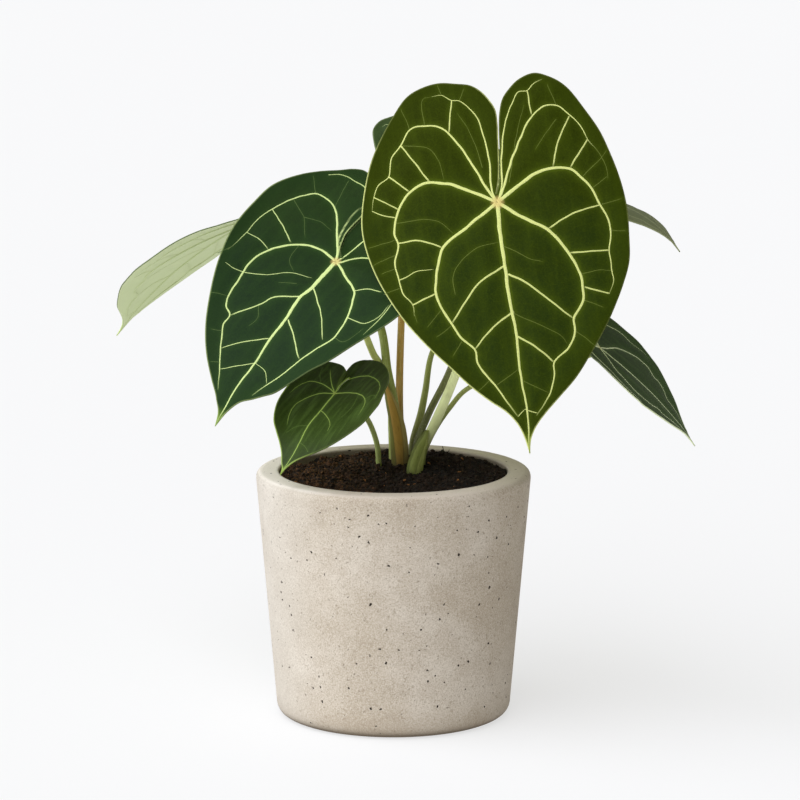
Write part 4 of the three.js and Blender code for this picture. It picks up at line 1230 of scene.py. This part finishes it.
def leaf_material(name, lobe, middle, band, glow_colour, vein_colour, tip,
                  sheen=0.0, shine=0.15, rough=0.6, sheen_streaks=0.1, spot=0.7):
    """Velvet with pale veins, a band along the margin, a pale edge, a spot at the joint and lengthwise
    lines of painted sheen.
    """
    recipe = Recipe(name)
    glow, vein, to_margin, length, edge, across = (
        recipe.attribute(field) for field in ("glow", "vein", "margin", "length", "edge", "across")
    )
    broad = recipe.grain(0.035, detail=3)
    cloud = recipe.grain(0.005, detail=4, roughness=0.6)
    velvet = recipe.grain(0.0007, detail=2)
    drawn = recipe.node("CombineXYZ", {"X": across * 0.2, "Y": length * 0.02, "Z": 0.0})
    stretched = recipe.grain(0.006, detail=4, where=drawn)
    net = recipe.node(
        "TexVoronoi", {"Vector": recipe.place(), "Scale": NET_CELLS}, output="Distance",
        feature="DISTANCE_TO_EDGE",
    )
    fine_net = 1 - recipe.between(net, 0.0, 0.08)
    colour = recipe.mix(recipe.between(length + (broad - 0.5) * 0.5, 0.1, 0.6), lobe, middle)
    colour = recipe.tinted(colour, cloud, 0.3, 0.75, 0.35, band)
    # Painted sheen: lengthwise lines of the paler glow colour stand in for the sheen along the blade.
    colour = recipe.tinted(colour, stretched, 0.45, 0.7, sheen_streaks, glow_colour)
    colour = recipe.mix(fine_net * 0.07, colour, glow_colour)
    colour = recipe.tinted(colour, velvet, 0.42, 0.7, 0.1, glow_colour)
    colour = recipe.mix((1 - recipe.between(to_margin, 0.5, 11.0)) * 0.55, colour, band)
    colour = recipe.tinted(colour, length, 0.93, 0.99, 0.85, tip)
    colour = recipe.mix(glow * (0.55 + cloud * 0.25), colour, glow_colour)
    colour = recipe.mix(vein * (0.86 + velvet * 0.2), colour, vein_colour)
    below_joint = length - JOINT_ALONG
    from_joint = recipe.maths("SQRT", across * across + below_joint * below_joint)
    colour = recipe.mix((1 - recipe.between(from_joint, 0.006, 0.022)) * spot, colour, JOINT_COLOUR)
    edge_line = (1 - recipe.between(to_margin, 0.1, 0.9)) * edge
    colour = recipe.mix(edge_line * 0.85, colour, vein_colour)
    return recipe.finish(
        Base_Color=colour,
        Roughness=rough + velvet * 0.12,
        Specular_IOR_Level=shine,
        Sheen_Weight=sheen,
        Sheen_Roughness=0.45,
        Sheen_Tint=paint(*band),
        Normal=recipe.bumped(velvet * 0.5 + fine_net * 0.25 + cloud * 0.5, 0.00012, 0.5),
    )


# The colours of the lobes, the middle, the margin, the glow, the veins and the tip, then the surface
olive_velvet = leaf_material(
    "olive_velvet", (38, 47, 0), (33, 46, 7), (46, 57, 0), (80, 96, 16), (208, 214, 134), (140, 160, 40),
    shine=0.04,
)
# Painted sheen: the blue leaves' lobe colour is painted lighter than their middle.
blue_velvet = leaf_material(
    "blue_velvet", (32, 49, 19), (23, 41, 20), (30, 52, 18), (52, 80, 30), (200, 216, 142), (120, 150, 50),
    shine=0.06, rough=0.55,
)
young_velvet = leaf_material(
    "young_velvet", (22, 33, 0), (40, 57, 10), (32, 46, 0), (82, 106, 46), (150, 172, 84), (150, 176, 60),
    sheen=0.03, rough=0.42, sheen_streaks=0.36, spot=0.1,
)
dark_velvet = leaf_material(
    "dark_velvet", (40, 56, 28), (50, 68, 36), (62, 82, 36), (84, 108, 60), (206, 220, 156), (110, 134, 50),
    sheen=0.1, shine=0.28, rough=0.42, spot=0.3,
)
side_velvet = leaf_material(
    "side_velvet", (38, 58, 27), (46, 67, 31), (56, 80, 33), (84, 108, 56), (232, 242, 196), (120, 144, 56),
    sheen=0.06, shine=0.24, rough=0.42, sheen_streaks=0.3, spot=0.2,
)
# Painted sheen: leaf 6 is painted pale grey-green all over, for the sheen of velvet seen at a grazing
# angle.
sheen_grey_velvet = leaf_material(
    "sheen_grey_velvet", (118, 124, 94), (104, 112, 78), (124, 130, 90), (128, 134, 100), (150, 156, 114),
    (130, 140, 80), sheen=0.05, shine=0.2, rough=0.5, spot=0.0,
)
# The underside's own sage, made paler as painted light for the light that shines through the thin blade.
backlit_sage_underside = leaf_material(
    "backlit_sage_underside", (212, 222, 178), (204, 216, 168), (208, 220, 172), (194, 206, 156), (198, 210, 160),
    (190, 206, 130), spot=0.0,
)
UPPER_FACES = [
    olive_velvet, blue_velvet, young_velvet, blue_velvet,
    dark_velvet, sheen_grey_velvet, side_velvet, blue_velvet,
]
for number, (leaf, upper_face) in enumerate(zip(LEAVES, UPPER_FACES), 1):
    leaf_lines = shape_lines(leaf)
    blade_piece(number, leaf, leaf_lines, upper_face, backlit_sage_underside)
    vein_piece(number, leaf, leaf_lines, upper_face, backlit_sage_underside)

# %% [markdown]
# ## The stalks
# A leaf stalk is a firm round cord, thicker at its foot, with a shallow groove along its upper side
# and fine lengthwise lines. Each is a tube made from a grid that is rolled round its route.

# %% Stalks
STALK_APPROACH = 12
STALK_TAPER = 1.4
STALK_SIDES = 22
STALK_STEP = 1.8
BOSS_START = 0.955
BOSS_SWELL = 1.1
FLARE_REACH = 0.35
GROOVE_DEPTH = 0.12
GROOVE_WIDTH = 0.06
RIDGE_COUNT = 9
RIDGE_HEIGHT = 0.012

# The route of each stalk from the rootstock, and its radius at the foot and at the blade
STALKS = [
    dict(route=[(12, 12, 112.3), (12, 12.5, 130), (14, 12, 140), (22, 8, 157), (33, 0, 185),
                (46, -9, 225), (52, -14, 260)], radius=(3.1, 2.2)),
    dict(route=[(-0.3, 31, 112.3), (-0.3, 31, 134), (-0.8, 30.5, 152), (-1.6, 30, 172), (-7, 27.5, 187),
                (-10.6, 20, 194), (-15, 13, 206), (-24, 3, 228)], radius=(2.3, 1.9)),
    dict(route=[(-8, 19, 112.3), (-8, 19, 134), (-9, 14, 146), (-14, 5, 161), (-22, -9, 172)],
         radius=(1.7, 1.4)),
    dict(route=[(3, 22, 112.3), (3, 22, 134), (2, 21, 155), (0, 21, 170), (-3, 23, 184), (-7, 29, 208),
                (-20, 48, 226), (-42, 74, 236), (-60, 92, 238)], radius=(2.9, 2.0)),
    dict(route=[(5, 32, 112.3), (5, 32, 134), (3.5, 30, 160), (3.5, 29, 180), (4.5, 30, 213),
                (6, 40, 245), (13, 60, 272)], radius=(2.4, 1.8)),
    dict(route=[(12, 28, 112.3), (12, 28, 130), (12, 27, 140), (19, 28, 159), (30, 36, 180),
                (41, 42, 208), (51, 46, 236), (72, 42, 257)], radius=(2.2, 1.7)),
    dict(route=[(17, 20, 112.3), (16, 21, 130), (16.5, 22, 138), (22, 22, 151), (31, 20, 165),
                (41, 18, 176), (74, 18, 187)], radius=(1.8, 1.2)),
    dict(route=[(11, 37, 112.3), (11, 37, 130), (11.2, 36.6, 142), (15.2, 37, 158), (17.6, 40, 170),
                (21.4, 49, 190), (33, 66, 205)], radius=(2.3, 1.35), flare=0.7),
]


def stalk_route(stalk, leaf):
    """The full route: it ends square to its blade."""
    _, _, up = leaf_axes(leaf)
    at = np.array(leaf["at"], float)
    near = at - up * leaf.get("approach", STALK_APPROACH)
    end = at - up * (BLADE_THICKNESS / 2)
    return smooth_line([*stalk["route"], near, end], 1.0)


def carried_frames(line):
    """Two directions square to the line at every point, turned along with it without a twist."""
    ahead = np.gradient(line, axis=0)
    ahead /= np.linalg.norm(ahead, axis=1)[:, None]
    first = np.cross(ahead[0], (0, 1, 0))
    frames = []
    for direction in ahead:
        first = first - direction * (first @ direction)
        first /= np.linalg.norm(first)
        frames.append((first, np.cross(direction, first)))
    return frames


def stalk_piece(number, stalk, leaf, material):
    """One stalk: a grid rolled round its route, with closed ends."""
    line = stalk_route(stalk, leaf)
    count = round(length_of(line) / STALK_STEP)
    centre = sampled(line, count)
    frames = carried_frames(centre)
    foot, head = stalk["radius"]

    def place(u, v):
        i = round(u * count)
        radius = foot + (head - foot) * min(1, STALK_TAPER * u)
        radius += BOSS_SWELL * max(0, (u - BOSS_START) / (1 - BOSS_START)) ** 2
        radius += stalk.get("flare", 0) * math.exp(-((u / FLARE_REACH) ** 2))
        turn = 2 * math.pi * v
        groove = math.exp(-(((v - 0.5) / GROOVE_WIDTH) ** 2)) * GROOVE_DEPTH
        radius *= 1 - groove + RIDGE_HEIGHT * math.sin(turn * RIDGE_COUNT)
        out = frames[i][0] * math.cos(turn) + frames[i][1] * math.sin(turn)
        return Vector((centre[i] + out * radius) * MM)

    mesh = moved_grid(count, STALK_SIDES, place, around=lambda v: abs(v - 0.5) * 2)
    bmesh.ops.remove_doubles(mesh, verts=mesh.verts, dist=1e-7)
    bmesh.ops.holes_fill(mesh, edges=mesh.edges, sides=0)
    data = closed(mesh, f"stalk_{number}")
    piece(f"petiole_{number}", data, [material], [f"stalk_{number}"])


print("stalk 1 is", round(length_of(stalk_route(STALKS[0], LEAVES[0]))), "mm long")

# %% [markdown]
# ## Stalk colours
# Each stalk is darker where it leaves the soil, and paler toward its blade. Fine lines run along it.
# They come from noise that is stretched along the stalk, which is unrolled for that.

# %% Stalk materials
def stalk_material(name, foot, middle, head):
    """Colour from the foot to the blade, with fine lines along the stalk."""
    recipe = Recipe(name)
    rise, around = recipe.attribute("rise"), recipe.attribute("around")
    unrolled = recipe.node("CombineXYZ", {"X": around * 0.012, "Y": rise * 0.006, "Z": 0.0})
    lines = recipe.grain(0.0006, detail=3, where=unrolled)
    blotch = recipe.grain(0.008, detail=3)
    fleck = recipe.grain(0.0009, detail=1)
    stops = [(0.0, foot), (0.12, foot), (0.33, middle), (0.9, head), (1.0, head)]
    colour = recipe.node("ValToRGB", {0: rise}, stops=stops)
    colour = recipe.tinted(colour, lines, 0.4, 0.7, 0.28, (196, 204, 140))
    colour = recipe.tinted(colour, blotch, 0.5, 0.8, 0.3, (84, 86, 34))
    colour = recipe.tinted(colour, fleck, 0.66, 0.74, 0.35, (214, 214, 170))
    return recipe.finish(
        Base_Color=colour,
        Roughness=0.5 + lines * 0.15,
        Specular_IOR_Level=0.35,
        Normal=recipe.bumped(lines, 0.00012, 0.6),
    )


# The colours of each stalk at its foot, in the middle and at the blade
STALK_LOOKS = [
    # Painted light: stalk 1's middle and head are painted paler than its own colour, against the shadow
    # leaf 1 casts on it.
    ("pale_petiole_painted_light", (110, 116, 48), (232, 238, 176), (236, 240, 182)),
    ("fresh_petiole", (112, 118, 48), (176, 184, 96), (204, 210, 124)),
    ("young_petiole", (92, 100, 34), (176, 188, 110), (180, 192, 112)),
    ("stout_petiole", (118, 116, 56), (134, 142, 68), (146, 156, 78)),
    ("tan_petiole", (132, 106, 50), (184, 142, 68), (190, 144, 66)),
    ("shaded_petiole", (62, 64, 24), (104, 106, 62), (122, 130, 72)),
    ("green_petiole", (92, 100, 36), (150, 156, 84), (160, 168, 96)),
    ("dull_petiole", (84, 84, 40), (130, 136, 66), (142, 152, 72)),
]
for number, (stalk, leaf, look) in enumerate(zip(STALKS, LEAVES, STALK_LOOKS), 1):
    stalk_piece(number, stalk, leaf, stalk_material(*look))

# %% [markdown]
# ## The dry sheaths
# A papery sheath once wrapped each new leaf. It has dried brown and still clasps the foot of its
# stalk, open at the front and drawn out to a point. It is a thin shell, so it is a curved grid with
# a Solidify modifier, and its fibres run along it.

# %% Sheaths
# Each clasps one stalk between two heights. Facing is where its middle looks, at the foot and tip.
SHEATHS = [
    dict(stalk=3, low=126, high=181, radius=4.6, facing=(272, 218), wrap=240, shift=(0.8, 0)),
    dict(stalk=0, low=124, high=155, radius=4.6, facing=(240, 225), wrap=220, shift=(-0.6, -1.2)),
]
SHEATH_STEPS = 60
SHEATH_SIDES = 36
SHEATH_TIP = 0.12
SHEATH_TAPER = 2.2
SHEATH_NARROWING = 0.25
SHEATH_CRINKLE = 0.12
SHEATH_DENTS = 0.2
SHEATH_THICKNESS = 0.4


def sheath_piece(number, sheath, material):
    """One sheath: a grid rolled part of the way round its stalk, and drawn out to a point."""
    line = stalk_route(STALKS[sheath["stalk"]], LEAVES[sheath["stalk"]])
    foot_facing, tip_facing = sheath["facing"]
    shift = np.array((*sheath["shift"], 0))

    def place(u, v):
        height = sheath["low"] + (sheath["high"] - sheath["low"]) * u
        centre = line[np.searchsorted(line[:, 2], height)]
        wrap = math.radians(sheath["wrap"]) * (1 + (SHEATH_TIP - 1) * u**SHEATH_TAPER)
        angle = math.radians(foot_facing + (tip_facing - foot_facing) * u**0.8) + wrap * (v - 0.5)
        crinkle = SHEATH_CRINKLE * math.sin(v * 40 + u * 3) * abs(v - 0.5) * 2
        radius = sheath["radius"] - SHEATH_NARROWING * u + crinkle
        radius += SHEATH_DENTS * noise.noise(Vector((u * 5, v * 6, number)))
        out = np.array((radius * math.cos(angle), radius * math.sin(angle), 0))
        return Vector((*(centre + out + shift * (1 - u))[:2], height)) * MM

    mesh = moved_grid(SHEATH_STEPS, SHEATH_SIDES, place, around=lambda v: v)
    data = closed(mesh, f"dry_sheath_{number}")
    shell = piece(f"dry_sheath_{number}", data, [material], [f"sheath_{number}"])
    skin = shell.modifiers.new("thickness", "SOLIDIFY")
    skin.thickness = SHEATH_THICKNESS * MM
    skin.offset = 0


def sheath_material(name, left, middle, right, fibre_and_shade):
    """Three bands along the sheath, with dark fibres, painted shade along a fold at each side of the middle
    band, and painted shade at the foot.
    """
    recipe = Recipe(name)
    rise, around = recipe.attribute("rise"), recipe.attribute("around")
    unrolled = recipe.node("CombineXYZ", {"X": around * 0.02, "Y": rise * 0.01, "Z": 0.0})
    fibres = recipe.grain(0.0008, detail=4, where=unrolled)
    broad = recipe.grain(0.003, detail=2, where=unrolled)
    place = around + (broad - 0.5) * 0.06
    second = rise * 0.35 + 0.59
    colour = recipe.mix(recipe.between(place, 0.41, 0.47), left, middle)
    colour = recipe.mix(recipe.between(place - second, -0.06, 0.06), colour, right)
    # Painted shade: a dark line along a fold at each side of the middle band.
    for past in (place - 0.42, place - second):
        away = recipe.maths("ABSOLUTE", past)
        colour = recipe.mix((1 - recipe.between(away, 0.0, 0.025)) * 0.5, colour, fibre_and_shade)
    colour = recipe.tinted(colour, fibres, 0.5, 0.75, 0.35, fibre_and_shade)
    # Painted shade at the foot, where the soil and the stalks shade the sheath.
    colour = recipe.mix((1 - recipe.between(rise, 0.02, 0.42)) * 0.85, colour, fibre_and_shade)
    return recipe.finish(
        Base_Color=colour,
        Roughness=0.7,
        Specular_IOR_Level=0.3,
        Normal=recipe.bumped(fibres, 0.0002, 0.7),
    )


SHEATH_LOOKS = [
    ("brown_sheath", (108, 108, 40), (160, 126, 50), (152, 136, 80), (56, 44, 14)),
    ("green_sheath", (88, 96, 36), (112, 120, 52), (140, 146, 76), (58, 62, 18)),
]
for number, (sheath, look) in enumerate(zip(SHEATHS, SHEATH_LOOKS), 1):
    sheath_piece(number, sheath, sheath_material(*look))
